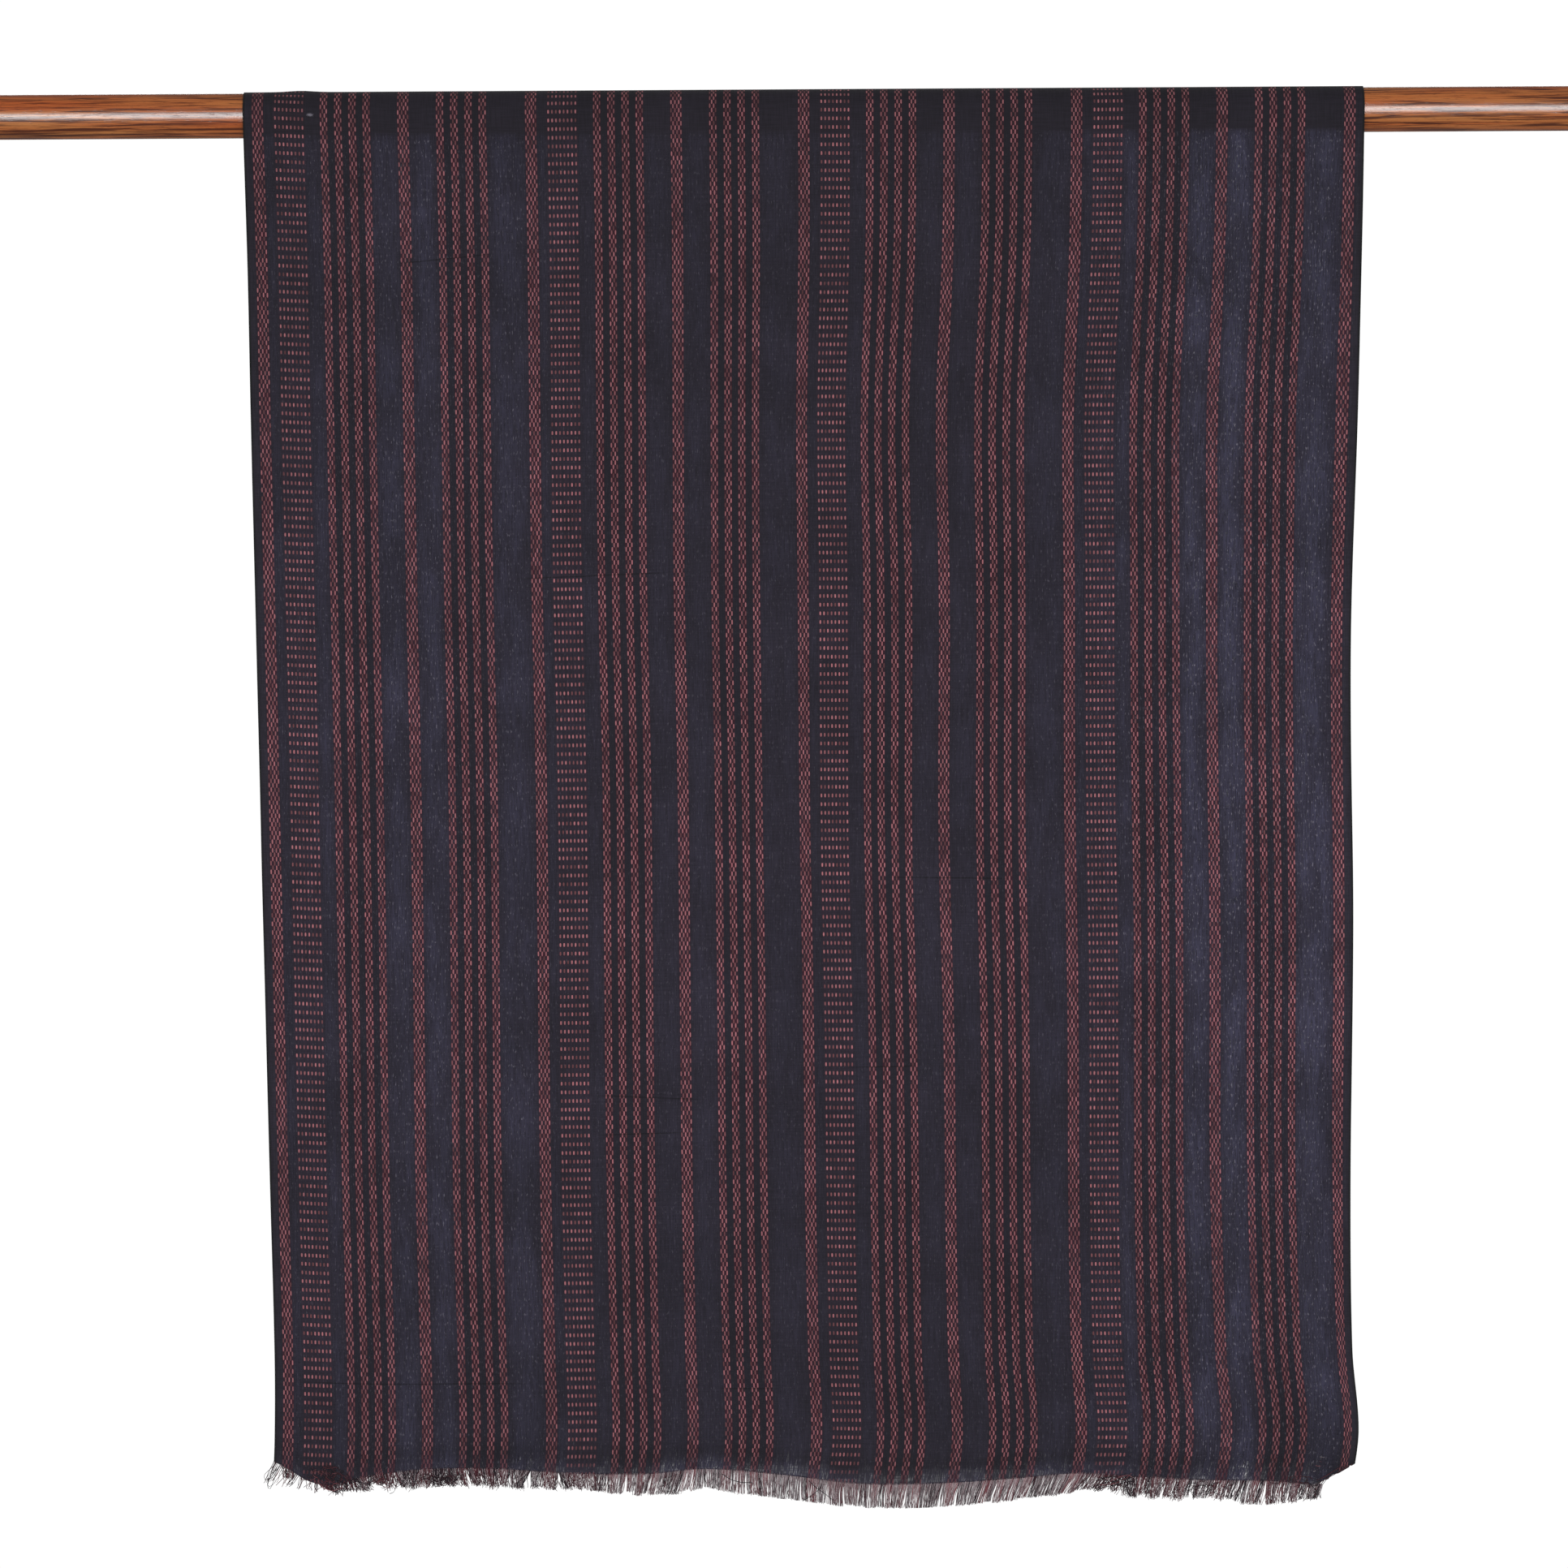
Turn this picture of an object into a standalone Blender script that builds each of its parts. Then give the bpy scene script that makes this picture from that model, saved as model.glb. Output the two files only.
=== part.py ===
"""Striped cotton shawl hung over a round wooden rod, at real size.

Metres, +Z up. The rod's axis is the X axis and the origin is on it, at the middle of the
cloth. The front layer hangs on the -Y side of the rod and the back layer on the +Y side.
"""

from bisect import bisect_right
from collections import namedtuple
from math import cos, exp, pi, radians, sin

import bmesh
import bpy
from mathutils import Vector

MM = 0.001

# Driving dimensions of the rod
ROD_DIAMETER = 30 * MM
ROD_LENGTH = 1200 * MM
ROD_END_CHAMFER = 1.5 * MM
ROD_SIDES = 32

# Rims steeper than this are chamfered, and edges flatter than the next are shaded smooth
RIM_ANGLE = radians(45)
SHARP_ANGLE = radians(40)

# Driving dimensions of the cloth
CLOTH_WIDTH = 750 * MM
CLOTH_WALL = 1.0 * MM
SEAM_GAP = 0.3 * MM
TOP_RADIUS = ROD_DIAMETER / 2 + SEAM_GAP + CLOTH_WALL / 2

# How the two layers lean towards each other below the rod, and over what height
LEAN = 4 * MM
LEAN_BEGINS = 20 * MM
LEAN_ENDS = 700 * MM

# Driving dimensions of the fringe
LOCKS_PER_FRINGE = 90
HEADING_HEIGHT = 3 * MM
LOCK_LENGTH = 10.5 * MM
LOCK_LENGTH_SPREAD = 2.0 * MM
LOCK_LEAN = 1.6 * MM
LOCK_TIP_SHARE = 0.4
CORNER_LOCK_LEAN = -5 * MM

# Faces across and along each sheet
FRONT_FACES = (40, 28)
BACK_FACES = (32, 20)
FOLD_FACES = (6, 16)

# Side of the rod that a layer hangs on, along Y
FRONT = -1
BACK = 1

Finish = namedtuple("Finish", "name colour roughness")
WOOD = Finish("varnished hardwood", colour=(0.27, 0.09, 0.036), roughness=0.3)
CLOTH = Finish("navy and maroon cotton", colour=(0.034, 0.024, 0.034), roughness=0.9)
LOOSE_ENDS = Finish("loose warp ends", colour=(0.05, 0.016, 0.024), roughness=0.9)

# Both selvedges at heights below the rod's axis, in mm from the middle of the rod
Edge = namedtuple("Edge", "below left right")
FRONT_EDGES = (
    Edge(below=0, left=-374.8, right=374.0),
    Edge(below=100, left=-372.2, right=371.4),
    Edge(below=200, left=-370.6, right=368.4),
    Edge(below=360, left=-367.0, right=362.7),
    Edge(below=550, left=-362.0, right=364.5),
    Edge(below=720, left=-359.8, right=361.8),
    Edge(below=830, left=-358.0, right=362.4),
    Edge(below=885, left=-358.4, right=365.4),
    Edge(below=925, left=-360.0, right=362.0),
)
BACK_EDGES = (
    Edge(below=0, left=-374.8, right=374.0),
    Edge(below=180, left=-369.4, right=367.2),
    Edge(below=400, left=-364.0, right=360.6),
    Edge(below=640, left=-359.0, right=359.8),
    Edge(below=920, left=-356.0, right=360.0),
)

# Height of each hem below the rod's axis, in mm, at places in mm from the left selvedge
Hem = namedtuple("Hem", "across below")
FRONT_HEM = (
    Hem(across=0, below=901.0),
    Hem(across=13, below=906.5),
    Hem(across=40, below=916.5),
    Hem(across=66, below=911.0),
    Hem(across=107, below=905.0),
    Hem(across=158, below=905.3),
    Hem(across=203, below=909.3),
    Hem(across=259, below=910.8),
    Hem(across=298, below=907.8),
    Hem(across=349, below=911.8),
    Hem(across=405, below=918.1),
    Hem(across=473, below=917.9),
    Hem(across=518, below=915.5),
    Hem(across=557, below=911.4),
    Hem(across=597, below=912.0),
    Hem(across=641, below=914.5),
    Hem(across=686, below=915.9),
    Hem(across=722, below=919.0),
    Hem(across=750, below=907.0),
)
BACK_HEM = (
    Hem(across=0, below=903.0),
    Hem(across=110, below=904.0),
    Hem(across=170, below=901.0),
    Hem(across=220, below=896.5),
    Hem(across=330, below=895.5),
    Hem(across=440, below=898.5),
    Hem(across=530, below=898.0),
    Hem(across=590, below=905.0),
    Hem(across=680, below=907.5),
    Hem(across=750, below=904.0),
)

# Soft upright folds, in mm: how far each stands out from the layer (in, where negative), and
# the heights below the rod's axis where it begins and where it is full
Fold = namedtuple("Fold", "across half_width out begins full")
FRONT_FOLDS = (
    Fold(across=40, half_width=50, out=2.6, begins=40, full=720),
    Fold(across=150, half_width=46, out=-3.2, begins=120, full=640),
    Fold(across=262, half_width=44, out=3.0, begins=30, full=520),
    Fold(across=372, half_width=34, out=-2.4, begins=20, full=240),
    Fold(across=440, half_width=48, out=3.6, begins=160, full=820),
    Fold(across=520, half_width=40, out=-3.4, begins=90, full=400),
    Fold(across=612, half_width=48, out=3.2, begins=200, full=760),
    Fold(across=705, half_width=36, out=-2.4, begins=80, full=560),
)
BACK_FOLDS = (
    Fold(across=70, half_width=52, out=-3.0, begins=60, full=600),
    Fold(across=190, half_width=56, out=3.6, begins=30, full=760),
    Fold(across=310, half_width=44, out=-2.6, begins=150, full=520),
    Fold(across=405, half_width=50, out=3.2, begins=90, full=840),
    Fold(across=535, half_width=58, out=-3.4, begins=40, full=680),
    Fold(across=655, half_width=46, out=2.8, begins=120, full=580),
)

EDGES = {FRONT: FRONT_EDGES, BACK: BACK_EDGES}
HEMS = {FRONT: FRONT_HEM, BACK: BACK_HEM}
FOLDS = {FRONT: FRONT_FOLDS, BACK: BACK_FOLDS}
SHEET_FACES = {FRONT: FRONT_FACES, BACK: BACK_FACES}


def clear_scene():
    for item in list(bpy.data.objects):
        bpy.data.objects.remove(item, do_unlink=True)


def read_table(rows, key, column, at):
    """The column's value, in metres, on a smooth curve through the rows, where the key is `at`."""
    keys = [getattr(row, key) * MM for row in rows]
    values = [getattr(row, column) * MM for row in rows]

    def slope(index):
        low = max(index - 1, 0)
        high = min(index + 1, len(rows) - 1)
        return (values[high] - values[low]) / (keys[high] - keys[low])

    row = min(max(bisect_right(keys, at) - 1, 0), len(rows) - 2)
    span = keys[row + 1] - keys[row]
    t = min(max((at - keys[row]) / span, 0.0), 1.0)
    rise = t * t * (3 - 2 * t)
    leave = t * (1 - t) ** 2 * slope(row) * span
    arrive = t * t * (1 - t) * slope(row + 1) * span
    return values[row] * (1 - rise) + values[row + 1] * rise + leave - arrive


def ease(value, begins, ends):
    """0 before `begins`, 1 after `ends`, and a smooth rise between them."""
    t = min(max((value - begins) / (ends - begins), 0.0), 1.0)
    return t * t * (3 - 2 * t)


def hem_below(side, across):
    return read_table(HEMS[side], "across", "below", across)


def hang(side, across, below):
    """Point in the middle of a hanging layer's wall, from its place on the cloth."""
    left = read_table(EDGES[side], "below", "left", below)
    right = read_table(EDGES[side], "below", "right", below)
    x = left + (right - left) * across / CLOTH_WIDTH
    away = TOP_RADIUS - LEAN * ease(below, LEAN_BEGINS, LEAN_ENDS)
    for fold in FOLDS[side]:
        reach = (across - fold.across * MM) / (fold.half_width * MM)
        away += fold.out * MM * exp(-reach * reach) * ease(below, fold.begins * MM, fold.full * MM)
    return Vector((x, side * away, -below))


def along_hem(side, across):
    """Point on a layer's hem, on the straight faces that its sheet has there."""
    step = CLOTH_WIDTH / SHEET_FACES[side][0]
    column = min(max(int(across / step), 0), SHEET_FACES[side][0] - 1)
    start = hang(side, column * step, hem_below(side, column * step))
    end = hang(side, (column + 1) * step, hem_below(side, (column + 1) * step))
    return start + (end - start) * (across / step - column)


def hanging_point(side):
    """Place of a point of a hanging layer, from shares of the way across and down it."""
    def place(u, v):
        across = u * CLOTH_WIDTH
        below = SEAM_GAP + (1 - v) * (hem_below(side, across) - SEAM_GAP)
        return hang(side, across, below)
    return place


def over_rod_point(u, v):
    """Place of a point of the stretch on the rod, from its front line to its back line."""
    turn = pi * v
    x = read_table(FRONT_EDGES, "below", "left", 0.0) * (1 - u)
    x += read_table(FRONT_EDGES, "below", "right", 0.0) * u
    return (x, -TOP_RADIUS * cos(turn), TOP_RADIUS * sin(turn))


def make_material(finish):
    material = bpy.data.materials.new(finish.name)
    material.use_nodes = True
    shader = material.node_tree.nodes["Principled BSDF"]
    shader.inputs["Base Color"].default_value = (*finish.colour, 1.0)
    shader.inputs["Roughness"].default_value = finish.roughness
    shader.inputs["Metallic"].default_value = 0.0
    return material


def make_object(name, bm, material, collection, holder):
    mesh = bpy.data.meshes.new(name)
    bm.to_mesh(mesh)
    bm.free()
    mesh.materials.append(material)
    piece = bpy.data.objects.new(name, mesh)
    collection.objects.link(piece)
    piece.parent = holder
    return piece


def make_rod(material, collection, holder):
    """Plain round rod lying along X, with its end rims chamfered."""
    bm = bmesh.new()
    bmesh.ops.create_cone(
        bm,
        cap_ends=True,
        segments=ROD_SIDES,
        radius1=ROD_DIAMETER / 2,
        radius2=ROD_DIAMETER / 2,
        depth=ROD_LENGTH,
    )
    rod = make_object("rod", bm, material, collection, holder)
    rod.rotation_euler = (0.0, radians(90), 0.0)
    rims = rod.modifiers.new("end rims", "BEVEL")
    rims.limit_method = "ANGLE"
    rims.angle_limit = RIM_ANGLE
    rims.width = ROD_END_CHAMFER
    rims.segments = 1
    rod.data.shade_smooth()
    rod.data.set_sharp_from_angle(angle=SHARP_ANGLE)
    return rod


def make_sheet(name, faces, place, material, collection, holder):
    """Wall of cloth: an open grid with each point set by `place`, thickened about its middle."""
    bm = bmesh.new()
    bmesh.ops.create_grid(bm, x_segments=faces[0], y_segments=faces[1], size=0.5)
    for vert in bm.verts:
        vert.co = place(vert.co.x + 0.5, vert.co.y + 0.5)
    bmesh.ops.recalc_face_normals(bm, faces=bm.faces)
    sheet = make_object(name, bm, material, collection, holder)
    wall = sheet.modifiers.new("cloth wall", "SOLIDIFY")
    wall.thickness = CLOTH_WALL
    wall.offset = 0.0
    wall.use_even_offset = True
    sheet.data.shade_smooth()
    return sheet


def lock_shape(index):
    """Length of one fringe lock and how far its tip leans sideways, never two alike in a row."""
    length = LOCK_LENGTH + LOCK_LENGTH_SPREAD * sin(1.9 * index) * cos(0.31 * index)
    lean = LOCK_LEAN * sin(2.3 * index + sin(0.7 * index))
    if index == 0:
        lean = CORNER_LOCK_LEAN
    return length, lean


def make_fringe(name, side, material, collection, holder):
    """Comb of loose warp ends: a narrow heading under the hem with a row of locks drawn from it.

    The comb is made straight first, one unit long, thick and high. Every second face under
    the heading is drawn down into a lock, and then the whole comb is laid along the hem.
    """
    steps = 2 * LOCKS_PER_FRINGE + 1
    bm = bmesh.new()
    bmesh.ops.create_cube(bm, size=1.0)
    long_edges = [edge for edge in bm.edges if abs(edge.verts[0].co.x - edge.verts[1].co.x) > 0.5]
    bmesh.ops.subdivide_edges(bm, edges=long_edges, cuts=steps - 1)
    under = [face for face in bm.faces if face.normal.z < -0.5]
    under.sort(key=lambda face: face.calc_center_median().x)

    lock_roots = under[1::2]
    centres = [face.calc_center_median().x for face in lock_roots]
    drawn = bmesh.ops.extrude_discrete_faces(bm, faces=lock_roots)["faces"]
    drawn.sort(key=lambda face: face.calc_center_median().x)
    for index, (tip, centre) in enumerate(zip(drawn, centres)):
        length, lean = lock_shape(index)
        for vert in tip.verts:
            vert.co.x = centre + (vert.co.x - centre) * LOCK_TIP_SHARE + lean / CLOTH_WIDTH
            vert.co.z -= length / HEADING_HEIGHT

    for vert in bm.verts:
        below_hem = SEAM_GAP + (0.5 - vert.co.z) * HEADING_HEIGHT
        from_hem = Vector((0.0, vert.co.y * CLOTH_WALL, -below_hem))
        vert.co = along_hem(side, (vert.co.x + 0.5) * CLOTH_WIDTH) + from_hem
    bmesh.ops.recalc_face_normals(bm, faces=bm.faces)
    return make_object(name, bm, material, collection, holder)


def build():
    clear_scene()
    collection = bpy.data.collections.new("hung_shawl")
    bpy.context.scene.collection.children.link(collection)
    holder = bpy.data.objects.new("rod_axis", None)
    collection.objects.link(holder)

    make_rod(make_material(WOOD), collection, holder)
    cloth = make_material(CLOTH)
    loose_ends = make_material(LOOSE_ENDS)
    make_sheet("rod_fold", FOLD_FACES, over_rod_point, cloth, collection, holder)
    for side, name in ((FRONT, "front"), (BACK, "back")):
        place = hanging_point(side)
        make_sheet(f"{name}_drop", SHEET_FACES[side], place, cloth, collection, holder)
        make_fringe(f"fringe_{name}", side, loose_ends, collection, holder)


build()
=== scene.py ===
"""Striped cotton shawl hung over a round wooden rod.

Metres, +Z up. The rod's axis is the X axis and the origin is on it, at the middle of the cloth.
The front layer hangs on the -Y side of the rod and the back layer on the +Y side. Places on the
cloth are in millimetres: `across` from its left selvedge, `below` under the rod's axis, and
`along` the cloth from its line on top of the rod, positive down the front.
"""

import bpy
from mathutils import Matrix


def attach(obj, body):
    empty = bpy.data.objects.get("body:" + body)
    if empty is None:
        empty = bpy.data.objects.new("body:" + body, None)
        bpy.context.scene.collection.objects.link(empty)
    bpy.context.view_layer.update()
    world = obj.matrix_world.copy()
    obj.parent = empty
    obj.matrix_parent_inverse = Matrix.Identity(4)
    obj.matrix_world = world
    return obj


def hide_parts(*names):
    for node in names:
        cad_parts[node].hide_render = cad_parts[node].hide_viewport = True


bl_info = {
    "name": "Striped shawl on a rod",
    "version": (1, 0, 0),
    "blender": (4, 5, 0),
    "location": "View3D > Sidebar > Shawl",
    "description": "Dresses the solids of a fringed cotton shawl that hangs over a wooden rod",
    "category": "Object",
}

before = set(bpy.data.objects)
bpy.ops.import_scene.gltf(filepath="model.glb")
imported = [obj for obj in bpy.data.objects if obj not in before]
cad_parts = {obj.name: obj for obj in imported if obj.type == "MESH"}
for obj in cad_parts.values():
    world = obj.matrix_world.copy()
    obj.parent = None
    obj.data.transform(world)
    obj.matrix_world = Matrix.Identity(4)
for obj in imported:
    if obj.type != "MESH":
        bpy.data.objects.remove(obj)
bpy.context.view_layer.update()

from collections import namedtuple
from functools import partial
from math import pi, radians

import bpy
import numpy as np

MM = 0.001
BODY = "root"


def table(columns, values):
    """The rows of a table, with its columns named."""
    Row = namedtuple("Row", columns)
    return [Row(*row) for row in values]


# Side of the rod that a layer hangs on, along Y
FRONT = -1
BACK = 1

# Width of the cloth between its selvedges as woven, in mm
WIDTH = 750.0

# The rod, in mm
ROD_RADIUS = 15.0
ROD_LENGTH = 1200.0
ROD_CHAMFER = 1.5
ROD_SIDES = 96
ROD_CUTS = 25

# The round floor: its number of sides, and its radius in metres
FLOOR_SIDES = 96
FLOOR_RADIUS = 4.4

# How the two layers lean towards each other below the rod, in mm
LEAN = 4.0
LEAN_BEGINS = 20.0
LEAN_ENDS = 700.0

# Both selvedges at heights below the rod's axis, in mm from the middle of the rod
FRONT_EDGES = table("below left right", (
    (0, -374.8, 375.0), (100, -372.2, 372.5), (200, -370.6, 369.5), (360, -367.6, 363.8),
    (550, -364.2, 364.6), (720, -360.7, 361.8), (830, -358.4, 362.4), (885, -358.7, 366.3),
    (925, -360.4, 360.6),
))
BACK_EDGES = table("below left right", (
    (0, -374.8, 374.0), (180, -369.4, 367.2), (400, -364.0, 360.6), (640, -359.0, 359.8),
    (920, -356.0, 360.0),
))

# Height of each hem below the rod's axis, at places across. The front's right corner is given
# as it would hang before it is turned back
FRONT_HEM = table("across below", (
    (0, 901.0), (12, 907.0), (26, 914.6), (40, 917.0), (66, 911.5), (107, 907.0), (158, 907.6),
    (203, 910.2), (259, 910.8), (298, 907.8), (349, 911.8), (405, 918.1), (473, 917.9),
    (518, 915.5), (557, 912.4), (597, 914.4), (641, 916.9), (686, 918.2), (726, 921.2),
    (750, 921.5),
))
BACK_HEM = table("across below", (
    (0, 903.0), (110, 904.0), (170, 901.0), (220, 896.5), (330, 895.5), (440, 898.5), (530, 898.0),
    (590, 905.0), (680, 907.5), (750, 904.0),
))

# Soft upright folds: how far each stands out from the layer (in, where negative), and the
# heights where it begins and where it is full
FRONT_FOLDS = table("across half_width out begins full", (
    (40, 50, 2.6, 40, 720), (150, 46, -3.2, 120, 640), (262, 44, 3.0, 30, 520),
    (372, 34, -2.4, 20, 240), (440, 48, 3.6, 160, 820), (520, 40, -3.4, 90, 400),
    (612, 48, 3.2, 200, 760), (705, 36, -2.4, 80, 560),
))
BACK_FOLDS = table("across half_width out begins full", (
    (70, 52, -3.0, 60, 600), (190, 56, 3.6, 30, 760), (310, 44, -2.6, 150, 520),
    (405, 50, 3.2, 90, 840), (535, 58, -3.4, 40, 680), (655, 46, 2.8, 120, 580),
))

# Finer creases, each a soft trough (a ridge, where its depth is negative) from one place to
# another that fades out at both ends
FRONT_CREASES = table("across below to_across to_below half_width depth", (
    (376, 40, 382, 330, 7, -0.7),
    (390, 60, 392, 290, 6, 0.6),
    (505, 205, 522, 395, 20, 1.3),
    (545, 260, 552, 520, 14, -0.7),
    (102, 102, 166, 95, 5, 0.7),
    (20, 640, 64, 880, 12, -0.9),
    (8, 852, 190, 850, 6, 0.7),
    (60, 872, 150, 893, 9, -0.9),
    (196, 470, 214, 820, 16, 0.8),
    (220, 662, 302, 676, 6, 0.5),
    (176, 300, 290, 318, 6, 0.5),
    (312, 560, 322, 860, 14, -0.8),
    (408, 842, 462, 900, 12, 1.1),
    (470, 640, 488, 905, 13, -0.8),
    (596, 700, 640, 902, 14, 0.9),
    (660, 840, 742, 862, 9, 0.9),
    (700, 866, 738, 900, 9, -1.0),
    (640, 70, 652, 360, 12, -0.7),
    (730, 180, 722, 560, 11, 0.8),
))
BACK_CREASES = table("across below to_across to_below half_width depth", (
    (96, 60, 108, 420, 10, -0.8),
    (240, 120, 262, 560, 16, 1.1),
    (352, 40, 346, 380, 8, 0.8),
    (470, 300, 452, 700, 15, -1.0),
    (560, 80, 600, 330, 14, 0.9),
    (40, 700, 120, 880, 12, 1.0),
    (200, 640, 330, 668, 7, 0.6),
    (610, 520, 640, 880, 15, -0.9),
    (690, 820, 744, 850, 9, 0.9),
    (380, 820, 500, 842, 8, 0.7),
))

# How far the stripes stray sideways from straight lines, as soft humps
FRONT_STRAYS = table("across below half_across half_below shift", (
    (450, 205, 85, 90, -4.0), (560, 205, 70, 90, -2.2), (660, 205, 90, 90, -3.2),
    (470, 500, 110, 110, -3.0), (690, 880, 90, 160, 4.2), (120, 740, 90, 190, -2.3),
    (250, 430, 110, 110, 1.4),
))
BACK_STRAYS = table("across below half_across half_below shift", (
    (220, 300, 110, 140, 3.2), (520, 620, 120, 160, -3.0), (400, 840, 90, 110, 2.2),
))

# Creases wander to both sides by this share of their half width, in waves of this length in mm
CREASE_WANDER = 0.12
WANDER_LENGTH = 23.0

# Small waves in both layers, in mm: how high they are at the hem, all over and at the selvedges,
# how far in the last ones reach, and the heights between which they grow
HEM_WAVE = 0.42
SLOW_WAVE = 0.3
EDGE_WAVE = 0.55
EDGE_WAVE_WIDTH = 9.0
HEM_WAVE_GROWS = (560.0, 900.0)
WAVES_GROW = (5.0, 60.0)

# The weft runs down from level by this much, in mm, most of it within this far of the left
# selvedge, and waves a little
SKEW = 4.2
SKEW_WIDTH = 60.0
SKEW_WAVE = 0.6
SKEW_WAVE_LENGTH = 70.0

EDGES = {FRONT: FRONT_EDGES, BACK: BACK_EDGES}
HEMS = {FRONT: FRONT_HEM, BACK: BACK_HEM}
FOLDS = {FRONT: FRONT_FOLDS, BACK: BACK_FOLDS}
CREASES = {FRONT: FRONT_CREASES, BACK: BACK_CREASES}
STRAYS = {FRONT: FRONT_STRAYS, BACK: BACK_STRAYS}

# Heights below the rod's axis between which the cloth comes off the wood and lets light through
LEAVES_ROD = (15.0, 18.5)

# A small lump of yarn under the cloth on top of the rod, and a nick with pale lint beside it
[ROD_LUMP] = table("across out half_across half_along", ((38.0, 0.9, 11.0, 8.0),))
[PALE_NICK] = table("across along half_across half_along", ((45.0, 23.0, 3.4, 1.7),))

# The front's bottom right corner is turned back behind the layer along this line, given as
# mm from the middle of the rod and mm below its axis. Places as near as the snap are moved onto
# the line, and the turned cloth lies the gap behind the layer once it is past the round fold
CORNER_FROM = np.array((363.3, 907.0))
CORNER_TO = np.array((339.3, 920.9))
CORNER_SNAP = 0.75
CORNER_GAP = 1.3
CORNER_ROUND = 2.5

# Stripes of warp floats in one repeat of the cloth, from the repeat's first stripe. Bricks are
# columns of long floats that step like bricks, and blocks are short floats in level rows
BRICK = 1
BLOCK = 2
REPEAT_STRIPES = table("offset kind columns", (
    (0.0, BRICK, 6), (20.9, BLOCK, 8), (44.2, BRICK, 4), (53.7, BRICK, 4), (63.2, BRICK, 4),
    (72.7, BRICK, 4), (97.2, BRICK, 6), (121.8, BRICK, 4), (131.3, BRICK, 4), (140.8, BRICK, 4),
    (150.3, BRICK, 4),
))
FIRST_STRIPE = 9.8
REPEAT = 182.6
REPEATS = 5
COLUMN_PITCH = 1.3

# Widest column of the cloth's mesh, and the finer ones by the corner that is turned back
COLUMN_WIDTH = 6.5
CORNER_COLUMN = 1.6
CORNER_COLUMNS_FROM = 719.0

# Rows of the meshes: down the front, then closer ones from this share of its drop to its hem,
# over the rod, and down the back
FRONT_ROWS = 270
LOW_ROWS_FROM = 0.972
LOW_ROWS = 20
ROD_ROWS = 25
BACK_ROWS = 280

# Width of the doubled edge yarns at each selvedge, in mm. The cloth is firm beside them, and
# opens between these two distances from the selvedge
SELVEDGE = 1.2
FIRM = (1.0, 9.0)

# The share of its openness that the cloth keeps in a stripe, and where beside it the rest sets in
STRIPE_OPENNESS = 0.4
BESIDE_STRIPE = (0.5, 6.0)

# Places relative to the hem, in mm, negative above it: where the weave loosens, where the floats
# fade, and a band of painted shade where the back layer's hem and fringe hang behind, with its half
# width and how much darker it is
LOOSENS = (-13.0, -1.0)
FADES = (-15.0, -3.0)
PAINTED_HEM_SHADE = -12.0
PAINTED_HEM_SHADE_WIDTH = 7.0
PAINTED_HEM_SHADE_DEPTH = 0.2

# How far in from a selvedge the stripes are held straight, in mm
HELD_STRAIGHT = 14.0

# Stretches of one repeat where the plain cloth between stripes is beaten closer and darker
CLOSE_STRETCHES = ((44.2, 72.7), (121.8, 150.3))

# How open the weave is across the cloth, and how much more it loosens right above a hem
OPENNESS = table("across share at_hem", (
    (0, 0.5, 0.1), (50, 0.75, 0.1), (95, 0.9, 0.15), (130, 0.87, 0.2), (185, 0.7, 0.3),
    (230, 0.42, 0.6), (300, 0.36, 0.85), (480, 0.34, 0.85), (540, 0.45, 0.7), (600, 1.0, 0.3),
    (640, 1.35, 0.2), (720, 1.35, 0.2), (750, 0.8, 0.1),
))

# How light the cloth is painted down the layer: painted shade near the rod and the hem, painted
# light from behind in the middle, and soft patches of painted light and shade from folds and layers
PAINTED_SHADING_DOWN = table("below share", (
    (0, 0.8), (50, 0.87), (200, 0.93), (400, 1.0), (590, 1.03), (700, 0.98), (850, 0.94),
    (920, 0.91),
))
PAINTED_SHADING_PATCHES = table("across below half_across half_below change", (
    (318, 600, 34, 70, 0.12), (462, 545, 45, 80, 0.08), (735, 520, 34, 200, 0.14),
    (660, 420, 60, 260, 0.06), (35, 430, 60, 90, 0.06), (120, 860, 80, 28, -0.1),
    (434, 869, 26, 26, -0.14), (709, 880, 42, 26, -0.12),
))

# Fine dark lines, each from one place across to another: partly single tight wefts, partly painted
# shade along fine creases
DARK_LINES = table("across to_across below slope", (
    (8, 184, 850.5, -0.004), (306, 352, 854.0, 0.01), (222, 300, 657.0, 0.05),
    (226, 292, 684.0, -0.02), (172, 290, 312.0, -0.03), (98, 168, 101.5, -0.1),
    (430, 520, 513.0, 0.01), (398, 452, 640.0, -0.02),
))
DARK_LINE_HALF_WIDTH = 0.7

# How low the front fringe reaches, and how far its tips lean to the right of their roots
FRONT_TIPS = table("across below lean", (
    (0, 914.0, -6.5), (14, 917.0, -4.5), (29, 920.6, -1.0), (58, 920.8, 3.0), (73, 918.0, 2.5),
    (102, 919.2, 1.0), (131, 918.2, 3.5), (175, 919.6, -1.0), (219, 920.8, 1.5), (248, 923.9, -1.0),
    (282, 924.0, -2.5), (300, 920.4, 0.5), (322, 924.0, 1.8), (351, 927.4, 0.8), (380, 931.0, 0.0),
    (410, 933.2, -0.6), (439, 934.2, -1.6), (468, 933.7, -2.6), (497, 931.8, -3.6),
    (527, 928.8, -4.6), (556, 925.8, -5.4), (574, 922.2, -4.0), (592, 926.2, -0.6),
    (630, 928.6, -1.2), (659, 929.2, -1.8), (680, 933.8, -1.0), (702, 933.0, -2.0),
    (726, 929.5, -3.0), (750, 929.0, -3.0),
))
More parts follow.
